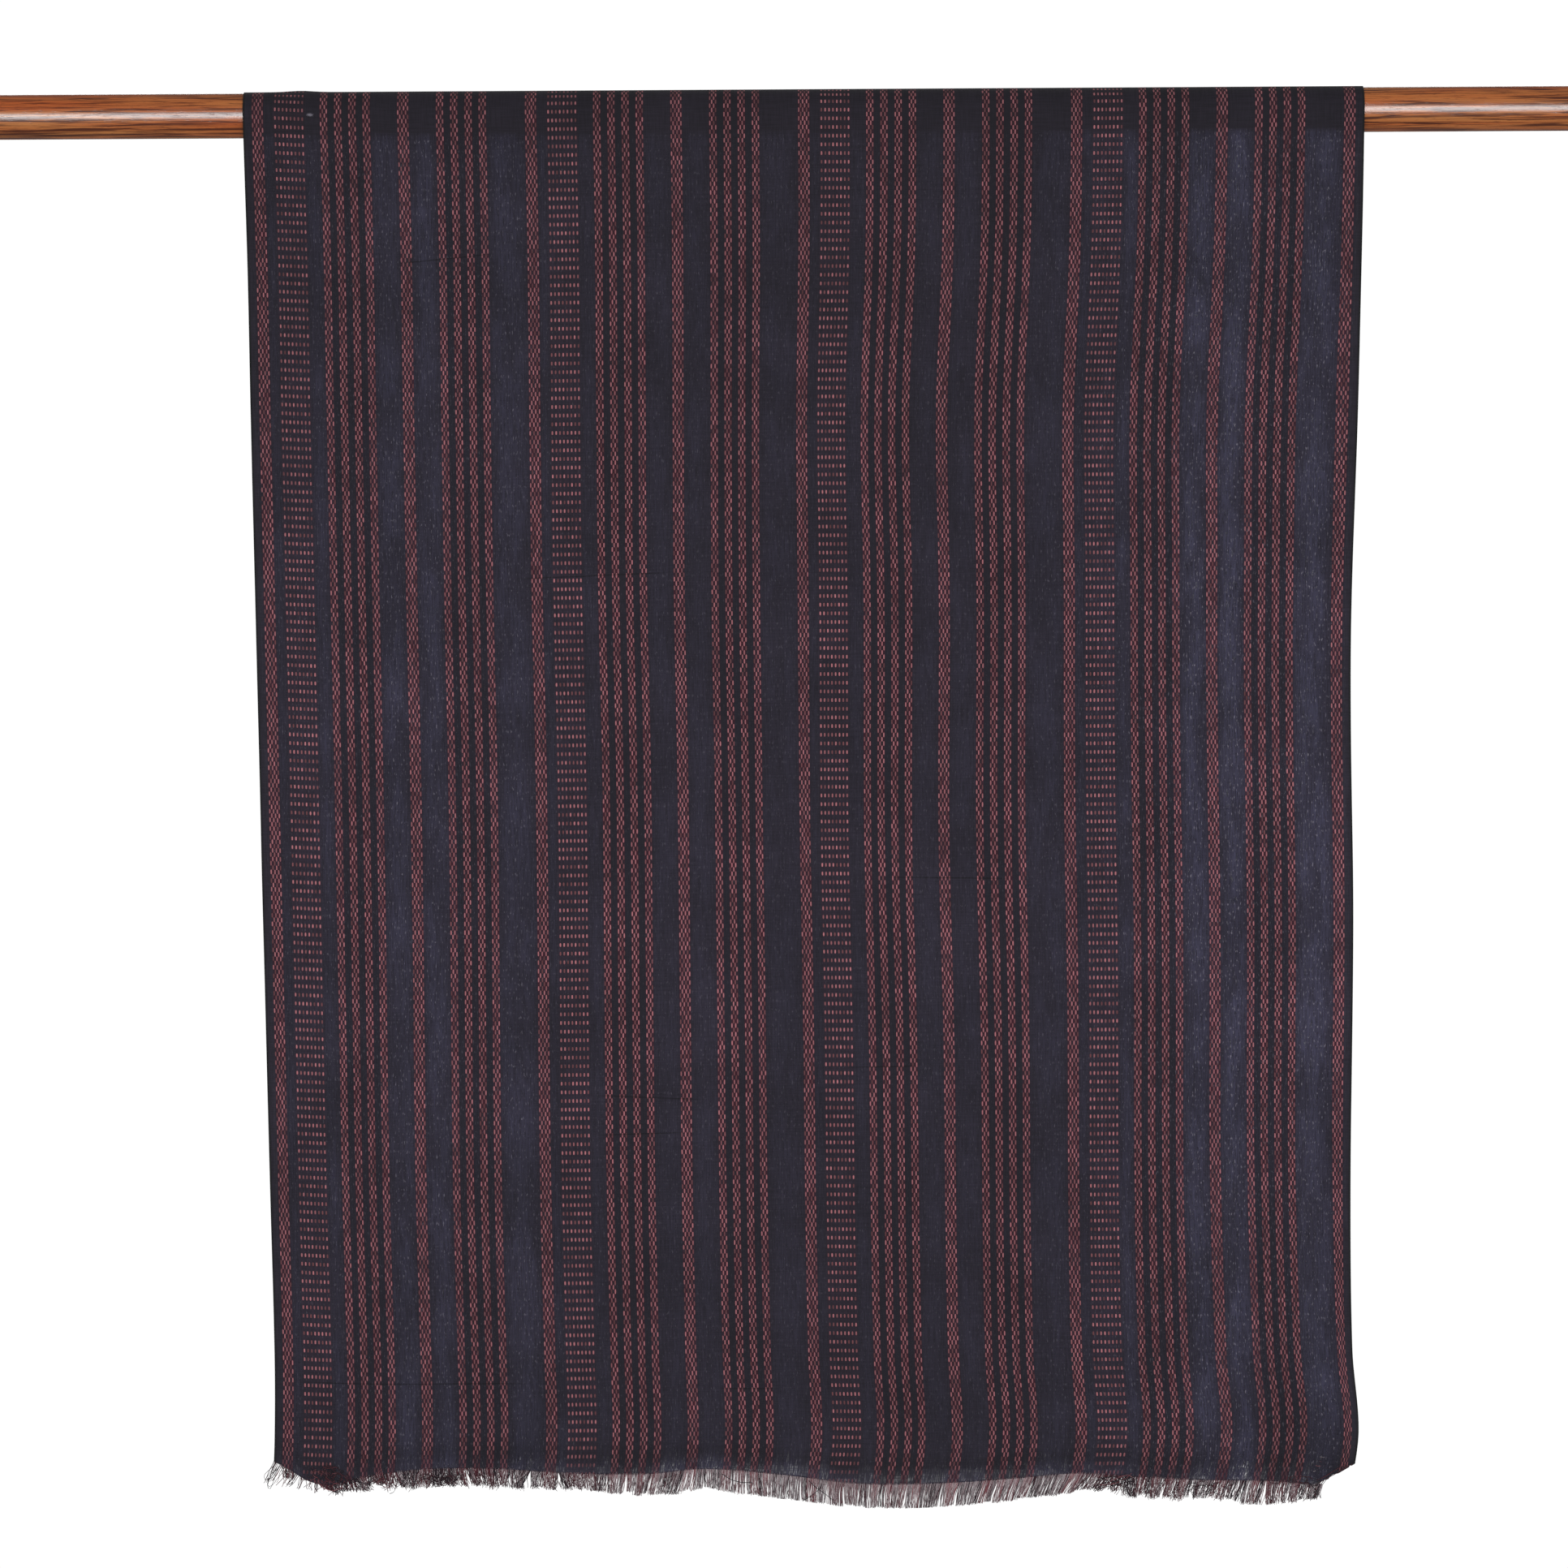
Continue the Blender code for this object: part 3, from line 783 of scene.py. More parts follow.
def make_cloth_material(settings):
    """Handwoven cotton gauze: fine single yarns in a loose plain weave, with warp-float stripes.

    Hand-spun yarns differ in thickness, so the eye sees matt navy with fine upright and level
    streaks, a little sky through its thin places, and rows of rose floats that stand up from it.
    """
    material, shader, add = new_material("handwoven cotton gauze")

    # The light through its thin places isn't followed to what lies behind, to save time
    material.use_transparent_shadow = False
    kept = []
    for name in ("cloth_place", "cloth_stripe", "cloth_wear"):
        whole = add("Attribute", out="Vector", attribute_name=name)
        kept += add("SeparateXYZ", (whole,)).node.outputs[:]
    across, along, opened, middle, kind, close, painted_shading, faded = kept[:8]
    flat = add("CombineXYZ", (across, along))

    # Uneven spots, with their width and length in mm. Yarns lie 0.42 mm apart, which is finer
    # than the picture shows, so they're drawn in twos
    spots = []
    for wide, long, detail in (
        (0.85, 16, 2.0),  # warp
        (20, 0.85, 2.0),  # weft
        (55, 55, 2.0),  # cloud
        (14, 60, 2.0),  # patch
        (0.9, 3.2, 1.0),  # slub
        (1 / 1.5, 1 / 1.5, 1.0),  # lint
        (0.62, 7, 1.0),  # slit
        (15, 1.1, 1.0),  # broken
    ):
        scaled = (flat, (1 / wide, 1 / long, 1))
        scaled = add("VectorMath", scaled, "MULTIPLY")
        spots.append(add("TexNoise", {0: scaled, "Scale": 1.0, "Detail": detail}, **FLAT))
    warp, weft, cloud, patch, slub, lint, slit, broken = spots
    yarns = add("Math", (warp, weft), "ADD")
    raised = add("MapRange", (yarns, 0.6, 1.4), **SOFT)

    # Where the weave is thin, the light that comes through from behind is painted in as a lighter,
    # bluer colour, in upright streaks and uneven patches
    patch = add("MapRange", (patch, 0.34, 0.62, 0.5), **SOFT)
    streaks = add("MapRange", (warp, 0.36, 0.66, 0.5))
    painted_backlight = opened
    for share in (0.72, streaks, patch):
        painted_backlight = add("Math", (painted_backlight, share), "MULTIPLY")
    deep = add("Math", (close, 0.6), "MULTIPLY")

    # One float per warp yarn of a stripe, 1.3 mm apart in brick stripes and 2.6 mm in blocks
    pitch = add("Math", (kind, 1.0), "MAXIMUM")
    pitch = add("Math", (pitch, COLUMN_PITCH), "MULTIPLY")
    column = add("Math", (across, middle), "SUBTRACT")
    column = add("Math", (column, pitch), "DIVIDE")
    number = add("Math", (column,), "FLOOR")
    odd = add("Math", (number, 2.0), "FLOORED_MODULO")
    even = add("Math", (1.0, odd), "SUBTRACT")
    stepped = add("Math", (2.0, kind), "SUBTRACT")
    step = add("Math", (even, stepped), "MULTIPLY")
    row = add("Math", (along, settings.float_period / MM), "DIVIDE")
    row = add("Math", (step, 0.5, row), "MULTIPLY_ADD")
    row_number = add("Math", (row,), "FLOOR")
    cell = add("CombineXYZ", (number, row_number, middle))
    chance = add("TexWhiteNoise", (cell,), noise_dimensions="3D")

    # A float's half width and half length, as shares of its cell in bricks and in blocks
    rim = 0.0
    for at, brick, block, power in ((column, 0.38, 0.22, 2.0), (row, 0.28, 0.22, 4.0)):
        half = add("MapRange", (kind, BRICK, BLOCK, brick, block))
        off = add("Math", (at,), "FRACT")
        off = add("Math", (off, 0.5), "SUBTRACT")
        off = add("Math", (off, half), "DIVIDE")
        off = add("Math", (off, power), "POWER")
        rim = add("Math", (off, rim), "ADD")
    floats = add("MapRange", (rim, 1.35, 0.45), **SOFT)
    in_stripe = add("Math", (kind, 1.0), "MINIMUM")
    lasting = add("MapRange", (faded, 0, 1, 1.0, 0.35))
    for share in (in_stripe, lasting):
        floats = add("Math", (floats, share), "MULTIPLY")
    shade = add("MapRange", (chance, 0, 1, 0.33, 1.25))
    brighter = add("MapRange", (stepped, 0, 1, 1.12, 1.0))
    shade = add("Math", (shade, brighter), "MULTIPLY")
    rose = add("VectorMath", {0: settings.rose, "Scale": shade}, "SCALE")
    under = add("MapRange", (warp, 0.3, 0.7))
    reddened = add("MapRange", (stepped, 0, 1, 0.2, 0.9))
    for share in (in_stripe, reddened):
        under = add("Math", (under, share), "MULTIPLY")

    # Slubs and lint: pale specks half a millimetre wide where a yarn is thicker
    slub = add("MapRange", (slub, 0.66, 0.8, 0, 0.45), **SOFT)
    slub = add("Math", (slub, opened), "MULTIPLY")

    # A nick by the rod where a few yarns are broken and pale lint shows
    off = (flat, (PALE_NICK.across, PALE_NICK.along, 0))
    off = add("VectorMath", off, "SUBTRACT")
    off = (off, (PALE_NICK.half_across, PALE_NICK.half_along, 1))
    off = add("VectorMath", off, "DIVIDE")
    off = add("VectorMath", (off,), "LENGTH", out="Value")
    lint = add("Math", (lint, off), "SUBTRACT")
    lint = add("MapRange", (lint, -0.2, 0.2, 0, 0.7))
    slub = add("Math", (slub, lint), "MAXIMUM")

    # The selvedge's doubled edge yarns, 1.2 mm wide, are nearly black
    half = settings.width / MM / 2
    edge = add("Math", (across, half), "SUBTRACT")
    edge = add("Math", (edge,), "ABSOLUTE")
    edge = add("MapRange", (edge, half - 1.8, half - 0.8))

    colour = settings.navy
    for share, other in (
        (raised, settings.navy_light),
        (painted_backlight, settings.painted_backlight_navy),
        (deep, settings.navy_deep),
        (under, settings.maroon),
        (floats, rose),
        (slub, settings.slub),
        (edge, settings.selvedge),
    ):
        colour = add("Mix", {0: share, 6: colour, 7: other}, **MIX)

    # Fine dark lines about a millimetre wide: partly tight wefts, partly painted shade along fine
    # creases
    darkened_lines = 0.0
    for pull in DARK_LINES:
        centre = (pull.across + pull.to_across) / 2
        half = (pull.to_across - pull.across) / 2
        level = pull.below + settings.wrap_radius / MM * pi / 2
        level += -pull.slope * pull.across - pick_skew(centre)
        off = add("Math", (across, -pull.slope, along), "MULTIPLY_ADD")
        off = add("Math", (off, float(level)), "SUBTRACT")
        off = add("Math", (off,), "ABSOLUTE")
        thin = add("MapRange", (off, DARK_LINE_HALF_WIDTH, 0), **SOFT)
        reach = add("Math", (across, centre), "SUBTRACT")
        reach = add("Math", (reach,), "ABSOLUTE")
        ends = add("MapRange", (reach, half, half * 0.6), **SOFT)
        darkened_lines = add("Math", (thin, ends, darkened_lines), "MULTIPLY_ADD")
    worn = add("MapRange", (cloud, 0.3, 0.7, 0.9, 1.1))
    dim = add("Math", (darkened_lines, -0.55, worn), "MULTIPLY_ADD")
    # The painted light and shade down the layer and in patches lightens and darkens the colour
    dim = add("Math", (dim, painted_shading), "MULTIPLY")
    colour = add("VectorMath", {0: colour, "Scale": dim}, "SCALE")

    # Thin places between yarns: upright slits half a millimetre wide, in uneven patches
    holes = add("MapRange", (slit, 0.5, 0.68), **SOFT)
    broken = add("MapRange", (broken, 0.38, 0.62, 0.4), **SOFT)
    for share in (broken, patch, opened, settings.openness):
        holes = add("Math", (holes, share), "MULTIPLY")

    # Between all yarns a little light comes through too, which is far too fine to draw
    sheer = add("Math", (opened, 0.06, 0.03), "MULTIPLY_ADD")
    sheer = add("Math", (holes, sheer), "ADD")
    dense = add("MapRange", (in_stripe, 0, 1, 1.0, 0.55))
    sheer = add("Math", (sheer, dense), "MULTIPLY")
    alpha = add("Math", (1.0, sheer), "SUBTRACT", use_clamp=True)

    # Floats stand 0.3 mm up from the cloth, and the raised yarns a third of that
    height = 0.0
    for part, rise in ((yarns, 0.1), (floats, 0.3)):
        height = add("Math", (part, rise, height), "MULTIPLY_ADD")
    bump = add("Bump", {"Strength": 0.55, "Distance": MM, "Height": height})
    connect(shader, {
        "Base Color": colour,
        "Alpha": alpha,
        "Normal": bump,
        "Roughness": 0.9,
        "Specular IOR Level": 0.2,
        "Sheen Weight": 0.06,
        "Sheen Roughness": 0.5,
    })
    return material


def make_thread_material(settings):
    """Loose single cotton yarns: matt, untwisted at their tips, navy with rose ones among them."""
    material, shader, add = new_material("loose cotton warp ends")
    thread = add("Attribute", out="Vector", attribute_name="loose_end")
    red, number, length = add("SeparateXYZ", (thread,)).node.outputs[:]
    reddish = add("MapRange", (red, 0, 0.5))
    rosy = add("MapRange", (red, 0.5))
    # Pale ends: partly untwisted fuzz, partly painted shade standing in for the fringe's shadow
    # between the ends
    worn = add("Attribute", out="Fac", attribute_name="loose_end_worn")
    colour = settings.navy
    for share, other in ((reddish, settings.maroon), (rosy, settings.rose), (worn, settings.fuzz)):
        colour = add("Mix", {0: share, 6: colour, 7: other}, **MIX)

    # The yarn's twist repeats every 0.8 mm, and is drawn at 1.2 mm so that it shows
    turns = add("Math", (length, 1 / 1.2), "MULTIPLY")
    turns = add("CombineXYZ", (turns, number))
    fuzz = add("TexNoise", {0: turns, "Scale": 1.0, "Detail": 2.0}, **FLAT)
    shade = add("MapRange", (fuzz, 0.3, 0.7, 0.7, 1.3))
    colour = add("VectorMath", {0: colour, "Scale": shade}, "SCALE")
    bump = add("Bump", {"Strength": 0.3, "Distance": 0.1 * MM, "Height": fuzz})
    connect(shader, {
        "Base Color": colour,
        "Normal": bump,
        "Roughness": 0.92,
        "Specular IOR Level": 0.2,
        "Sheen Weight": 0.08,
    })
    return material


def make_rod_material(settings):
    """Varnished hardwood dowel, turned and brushed with two coats of clear varnish.

    The eye sees warm brown with long dark grain lines and pores that run with the rod, under a
    clear gloss that takes a bright line from the light and breaks it a little at each pore.
    """
    material, shader, add = new_material("varnished hardwood dowel")
    place = add("TexCoord", out="Object")

    # Grain lines 0.5 to 2.5 mm wide and 20 to 90 mm long, pores 0.3 mm wide and 6 mm long
    marks = []
    for along, around, detail, distortion in (
        (13, 430, 3.0, 0.6),  # grain
        (24, 1050, 2.0, 0.5),  # fine
        (5, 130, 2.0, 0.4),  # broad
        (150, 2300, 1.0, 0.0),  # pores
    ):
        scaled = add("VectorMath", (place, (along, around, around)), "MULTIPLY")
        noise = {0: scaled, "Scale": 1.0, "Detail": detail, "Distortion": distortion}
        marks.append(add("TexNoise", noise))
    grain, fine, broad, pores = marks

    # The light falls from above, and more dark grain is drawn on the rod's lower half: partly the
    # grain seen there, and partly painted shade on its underside
    low = add("SeparateXYZ", (place,), out=2)
    low = add("MapRange", (low, 0.001, -0.009, 0, 0.015))
    grain = add("Math", (grain, low), "ADD")
    fine = add("Math", (fine, low), "ADD")
    line = add("MapRange", (grain, 0.5, 0.62, 0, 0.9), **SOFT)
    thin = add("MapRange", (fine, 0.52, 0.66, 0, 0.75), **SOFT)
    line = add("Math", (line, thin), "MAXIMUM")
    pale = add("MapRange", (broad, 0.35, 0.68))
    pit = add("MapRange", (pores, 0.62, 0.72), **SOFT)
    speck = add("Math", (pit, 0.6), "MULTIPLY")
    colour = settings.body
    for share, other in ((pale, settings.pale), (line, settings.dark), (speck, settings.dark)):
        colour = add("Mix", {0: share, 6: colour, 7: other}, **MIX)
    rough = add("MapRange", (broad, 0, 1, 0.3, 0.5))
    depth = add("Math", (line, 0.25, pit), "MULTIPLY_ADD")
    bump = {"Strength": 0.25, "Distance": 0.1 * MM, "Height": depth}
    bump = add("Bump", bump, invert=True)
    connect(shader, {
        "Base Color": colour,
        "Roughness": rough,
        "Normal": bump,
        "Coat Normal": bump,
        "IOR": 1.5,
        "Specular IOR Level": 0.2,
        "Coat Weight": settings.gloss,
        "Coat Roughness": 0.22,
        "Coat IOR": 1.5,
    })
    return material


def make_floor_material(settings):
    """Smooth painted board: matt, pale and very slightly uneven.

    It glows a little, as a lit studio floor does beside an object that is exposed darker.
    """
    material, shader, add = new_material("pale painted board")
    place = add("TexCoord", out="Object")
    cloud = add("TexNoise", {0: place, "Scale": 6.0, "Detail": 3.0})
    shade = add("MapRange", (cloud, 0, 1, 0.97, 1.03))
    colour = {0: settings.floor_colour, "Scale": shade}
    colour = add("VectorMath", colour, "SCALE")
    connect(shader, {
        "Base Color": colour,
        "Roughness": 0.8,
        "Emission Color": settings.floor_colour,
        "Emission Strength": 0.4,
    })
    return material


def part_locks(centres):
    """Moves lock middles out of the gaps in the front fringe."""
    for gap in FRONT_GAPS:
        off = centres - gap
        near = np.abs(off) < GAP_HALF_WIDTH
        centres = np.where(near, gap + np.sign(off + 0.01) * GAP_HALF_WIDTH, centres)
    return centres


def read_lie(column, roots):
    """How the front fringe lies at its roots, on straight lines between the rows."""
    values = [getattr(lie, column) for lie in FRONT_LIES]
    return np.interp(roots, [lie.across for lie in FRONT_LIES], values)


def place_roots(side, width, spacing, chance):
    """Places across where ends leave the hem: some of them are doubled, and some are missing."""
    roots = np.arange(spacing / 2, width, spacing)
    crowd = 0.4 + 0.3 * np.sin(roots / 71.0)
    if side == FRONT:
        crowd = read_lie("crowd", roots)
    drawn = chance.random(len(roots))
    doubled = roots[drawn < crowd] + spacing / 2
    return np.sort(np.concatenate((roots[drawn >= -crowd], doubled)))


def fringe_paths(drape, side, settings):
    """Every loose end at one hem: its root, middle line and length, in mm.

    The source of their random draws is given back too, for what is drawn after them.
    """
    chance = np.random.default_rng(settings.seed + side)
    roots = place_roots(side, drape.width, settings.spacing / MM, chance)
    count = len(roots)
    hem = drape.hem(side, roots)
    length = settings.length / MM
    spread = settings.spread / MM
    if side == FRONT:
        reach = read_table(FRONT_TIPS, "across", "below", roots) - hem
        slant = read_table(FRONT_TIPS, "across", "lean", roots)
        gather = read_lie("gather", roots)
        tangle = read_lie("tangle", roots)
    else:
        # The back fringe isn't in the photo, and is plain
        reach = length - 1.6 + 1.6 * np.sin(roots / 37.0)
        reach = np.minimum(reach, 4.0 + 0.42 * (drape.width - roots))
        slant = 2.4 * np.sin(roots / 61.0)
        gather = 0.4 + 0.1 * np.sin(roots / 47.0)
        tangle = 0.4 + 0.3 * np.sin(roots / 83.0)

    # Ends hang in locks, and a lock leans, reaches down and pulls its ends in as one
    centres = np.cumsum(chance.uniform(*LOCK_WIDTHS, int(drape.width / LOCK_WIDTHS[0])))
    centres = centres[centres < drape.width + 4.0]
    if side == FRONT:
        centres = part_locks(centres)
    locks = len(centres)
    lock = np.abs(roots[:, None] - centres[None, :]).argmin(axis=1)
    pull = chance.uniform(*LOCK_PULLS, locks)[lock] * gather
    lean = slant + chance.normal(0.0, 1.0, locks)[lock] * np.polyval(LOCK_LEAN, tangle)
    reach = reach + chance.normal(0.0, 1.0, locks)[lock] * np.polyval(LOCK_LENGTH, tangle)
    own_lean = chance.normal(0.0, 1.0, count) * np.polyval(END_LEAN, tangle)
    curl = chance.normal(0.0, 1.0, count) * np.polyval(END_CURL, tangle)
    twist = chance.uniform(0.0, 2 * pi, count)
    apart = chance.normal(0.0, END_OUT, count)
    lean = lean + own_lean * np.where(chance.random(count) < STRAY_SHARE, STRAY_LEAN, 1.0)
    reach = reach + chance.normal(0.0, 1.0, count) * np.polyval(END_LENGTH, tangle)
    reach = np.clip(reach, SHORTEST_END, length + spread)

    # Places down each end, from its root inside the hem to its tip
    t = np.linspace(0.0, 1.0, END_RINGS)[None, :]
    across = roots[:, None] + (centres[lock] - roots)[:, None] * pull[:, None] * t ** 1.3
    across = across + lean[:, None] * t ** 1.2
    across = across + curl[:, None] * np.sin(twist[:, None] + 5.5 * t) * t
    below = hem[:, None] - ROOT_DEPTH + (reach[:, None] + ROOT_DEPTH) * t
    held = np.clip(across, 0.0, drape.width)
    root_x = read_table(FRONT_EDGES, "below", "right", hem)
    root_x = root_x - (drape.width - roots) * LOW_SHARE
    turned = (side == FRONT) & (past_corner(root_x, hem)[0] > 0.0)
    points = drape.hang(side, held, below, turned[:, None])
    points[..., 0] += across - held
    points[..., 1] += apart[:, None] * t ** 1.3
    return roots, points, reach, chance


def spread_path(places, count):
    """Points spread evenly by their number along a smooth line through a few places."""
    places = np.array(places, dtype=float)
    known = np.arange(len(places))
    at = np.linspace(0, len(places) - 1, count)
    weights = hump(at[:, None] - known[None, :], HAND_LAID_SOFTNESS)
    weights /= weights.sum(axis=1, keepdims=True)
    line = weights @ places
    line[0] = places[0]
    line[-1] = places[-1]
    return line


def hang_low(drape, x, below, out):
    """Points on the front layer's low end at places from the rod's middle, moved out from it."""
    across = np.clip((x - LOW_LEFT) / LOW_WIDTH * drape.width, 0.0, drape.width)
    hung = drape.hang(FRONT, across, below, False)
    hung[..., 0] = x
    hung[..., 1] -= out
    return hung


def hand_laid_paths(drape, rings):
    """Middle lines of the loose ends laid one by one, in mm, and how rosy each is."""
    paths = []
    for rosy, places in HAND_LAID_ENDS:
        x, below, out = spread_path(places, rings).T
        paths.append(hang_low(drape, x, below, out * HAND_LAID_OUT))
    return np.array(paths), np.array([rosy for rosy, places in HAND_LAID_ENDS])


def knotted_paths(drape, rings, chance):
    """Middle lines of the ends curled up in each knot, in mm, and how rosy each is."""
    paths = []
    rosy = []
    t = np.linspace(0.0, 1.0, rings)[None, :]
    for knot in KNOTS:
        between = partial(chance.uniform, size=(knot.ends, 1))
        aside, lower = chance.normal(0.0, 0.5, (2, knot.ends, 1))
        aside = aside * knot.half_width
        lower = lower * knot.half_height
        curl = between(*KNOT_CURL)
        flat = between(*KNOT_FLAT)
        turn = between(0.0, 2 * pi)
        turn = turn + between(-KNOT_TURN, KNOT_TURN) * t
        out = between(*KNOT_OUT) + 0.3 * np.sin(2 * turn)
        x = knot.x + aside + curl * np.cos(turn)
        below = knot.below + lower + flat * curl * np.sin(turn)
        paths.append(hang_low(drape, x, below, out))
        rosy.append(chance.uniform(0.0, 2.0, knot.ends) * knot.rosy)
    return np.concatenate(paths), np.concatenate(rosy)


def colour_ends(side, roots, chance):
    """How rosy and how pale each loose end is."""
    count = len(roots)
    rosy = chance.uniform(*PLAIN_ROSY, count)
    rosy = np.where(chance.random(count) < MAROON_SHARE, MAROON, rosy)
    for middle, half, kind in list_stripes():
        inside = np.abs(roots - middle) < half + 0.4
        share = chance.uniform(*STRIPE_ROSY, count)
        rosy = np.where(inside, share / (BLOCK_DULLS if kind == BLOCK else 1.0), rosy)
    pale_end_share = PALE_END_SHARE
    if side == FRONT:
        pale_end_share = read_lie("worn", roots)
        rosy = rosy * (1.0 - TANGLE_DULLS * read_lie("tangle", roots))
    worn = chance.uniform(*PALE_END, count) * (chance.random(count) < pale_end_share)
    return rosy, worn


def make_tubes(name, points, radius):
    """One mesh of thin tubes around middle lines, closed at both ends."""
    count, rings = points.shape[:2]
    sides = END_SIDES
    run = np.gradient(points, axis=1)
    run /= np.linalg.norm(run, axis=2, keepdims=True)
    wide = np.cross(run, np.array((0.0, 1.0, 0.0)))
    wide /= np.linalg.norm(wide, axis=2, keepdims=True)
    thick = np.cross(run, wide)
    angle = np.arange(sides) * 2 * pi / sides
    around = wide[:, :, None, :] * np.cos(angle)[None, None, :, None]
    around = around + thick[:, :, None, :] * np.sin(angle)[None, None, :, None]
    verts = points[:, :, None, :] + around * radius

    first = (np.arange(count) * rings * sides)[:, None, None]
    ring = (np.arange(rings - 1) * sides)[None, :, None]
    near = np.arange(sides)[None, None, :]
    far = (near + 1) % sides
    faces = np.stack((first + ring + near, first + ring + far), axis=-1)
    next_ring = np.stack((first + ring + sides + far, first + ring + sides + near), axis=-1)
    quads = np.concatenate((faces, next_ring), axis=-1).reshape(-1, 4)
    start = first[:, 0, :] + np.arange(sides)[None, ::-1]
    end = first[:, 0, :] + (rings - 1) * sides + np.arange(sides)[None, :]
    polygons = quads.tolist() + start.tolist() + end.tolist()
    mesh = bpy.data.meshes.new(name)
    mesh.from_pydata((verts.reshape(-1, 3) * MM).tolist(), [], polygons)
    return mesh


def make_fringe(name, side, drape, settings, material):
    """Loose warp ends at one hem as one mesh of thin three-sided yarns."""
    roots, points, length, chance = fringe_paths(drape, side, settings)
    rosy, worn = colour_ends(side, roots, chance)
    rings = points.shape[1]
    if side == FRONT:
        laid, laid_rosy = hand_laid_paths(drape, rings)
        knotted, knotted_rosy = knotted_paths(drape, rings, chance)
        extra = len(laid) + len(knotted)
        points = np.concatenate((points, laid, knotted))
        rosy = np.concatenate((rosy, laid_rosy, knotted_rosy))
        worn = np.concatenate((worn, np.zeros(extra)))
        length = np.concatenate((length, np.full(extra, settings.length / MM)))
    count = len(points)
    narrowing = np.linspace(1.0, TIP_THICKNESS, rings)[None, :, None, None]
    radius = settings.thickness / MM / 2 * narrowing
    radius = radius * chance.uniform(*END_THICKNESS, count)[:, None, None, None]
    mesh = make_tubes(name, points, radius)

    facts = np.zeros((count, rings, END_SIDES, 3))
    facts[..., 0] = rosy[:, None, None]
    facts[..., 1] = (np.arange(count) * END_NOISE_STEP)[:, None, None]
    facts[..., 2] = length[:, None, None] * np.linspace(0.0, 1.0, rings)[None, :, None]
    keep(mesh, "loose_end", "FLOAT_VECTOR", "POINT", facts)
    keep(mesh, "loose_end_worn", "FLOAT", "POINT", np.repeat(worn, rings * END_SIDES))
    mesh.materials.append(material)
    mesh.shade_smooth()
    return ride(bpy.data.objects.new(name, mesh))


class SHAWL_OT_make_rod(bpy.types.Operator):
    """Make the varnished wooden rod"""

    bl_idname = "shawl.make_rod"
    bl_label = "Make rod"

    def execute(self, context):
        settings = context.scene.shawl_rod
        end = ROD_LENGTH / 2
        cuts = np.linspace(-end + ROD_CHAMFER, end - ROD_CHAMFER, ROD_CUTS)
        xs = np.concatenate(((-end,), cuts, (end,)))
        radii = np.full(len(xs), ROD_RADIUS)
        radii[[0, -1]] = ROD_RADIUS - ROD_CHAMFER
        angle = np.arange(ROD_SIDES) * 2 * pi / ROD_SIDES
        verts = np.empty((len(xs), ROD_SIDES, 3))
        verts[..., 0] = xs[:, None]
        verts[..., 1] = radii[:, None] * np.cos(angle)
        verts[..., 2] = radii[:, None] * np.sin(angle)
        index = np.arange(len(xs) * ROD_SIDES).reshape(len(xs), ROD_SIDES)
        turned = np.roll(index, -1, axis=1)
        faces = np.stack((index[:-1], turned[:-1], turned[1:], index[1:]), axis=-1)
        polygons = faces.reshape(-1, 4).tolist()
        polygons.append(index[0, ::-1].tolist())
        polygons.append(index[-1].tolist())
        mesh = bpy.data.meshes.new("rod_dowel")
        mesh.from_pydata((verts.reshape(-1, 3) * MM).tolist(), [], polygons)
        mesh.materials.append(make_rod_material(settings))
        mesh.shade_smooth()
        mesh.set_sharp_from_angle(angle=radians(30))
        rod = ride(bpy.data.objects.new("rod_dowel", mesh))
        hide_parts("rod")
        return {"FINISHED"}


class SHAWL_OT_make_cloth(bpy.types.Operator):
    """Make the woven cloth: the front with the stretch over the rod, and the back"""

    bl_idname = "shawl.make_cloth"
    bl_label = "Make cloth"

    def execute(self, context):
        settings = context.scene.shawl_cloth
        drape = Drape(settings)
        material = make_cloth_material(settings)
        columns = list_columns(drape.width)

        upper = np.linspace(0.0, LOW_ROWS_FROM, FRONT_ROWS)[:-1]
        share = np.concatenate((upper, np.linspace(LOW_ROWS_FROM, 1.0, LOW_ROWS)))
        hem = drape.hem(FRONT, columns)
        below = share[:, None] * hem
        hanging = drape.hang(FRONT, columns, below)
        on_rod = np.linspace(-drape.quarter, drape.quarter, ROD_ROWS)[:-1, None]
        on_rod = np.broadcast_to(on_rod, (ROD_ROWS - 1, len(columns)))
        laid = drape.over_rod(np.broadcast_to(columns, on_rod.shape), on_rod)
        points = np.concatenate((laid, hanging))
        alongs = np.concatenate((on_rod, drape.quarter + below))
        to_hem = np.concatenate((on_rod * 0.0 + hem, hem - below))
        made = (material, settings.wall)
        front = make_sheet("cloth_front", columns, alongs, to_hem, points, *made)
        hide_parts("front_drop", "rod_fold")

        hem = drape.hem(BACK, columns)
        below = np.linspace(1.0, 0.0, BACK_ROWS)[:, None] * hem
        points = drape.hang(BACK, columns, below)
        alongs = -drape.quarter - below
        back = make_sheet("cloth_back", columns, alongs, hem - below, points, *made)
        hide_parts("back_drop")
        return {"FINISHED"}


class SHAWL_OT_make_fringes(bpy.types.Operator):
    """Make the loose warp ends at both hems"""

    bl_idname = "shawl.make_fringes"
    bl_label = "Make fringes"

    def execute(self, context):
        settings = context.scene.shawl_fringe
        drape = Drape(context.scene.shawl_cloth)
        material = make_thread_material(settings)
        for side, name in ((FRONT, "front"), (BACK, "back")):
            fringe = make_fringe(f"fringe_threads_{name}", side, drape, settings, material)
            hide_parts(f"fringe_{name}")
        return {"FINISHED"}


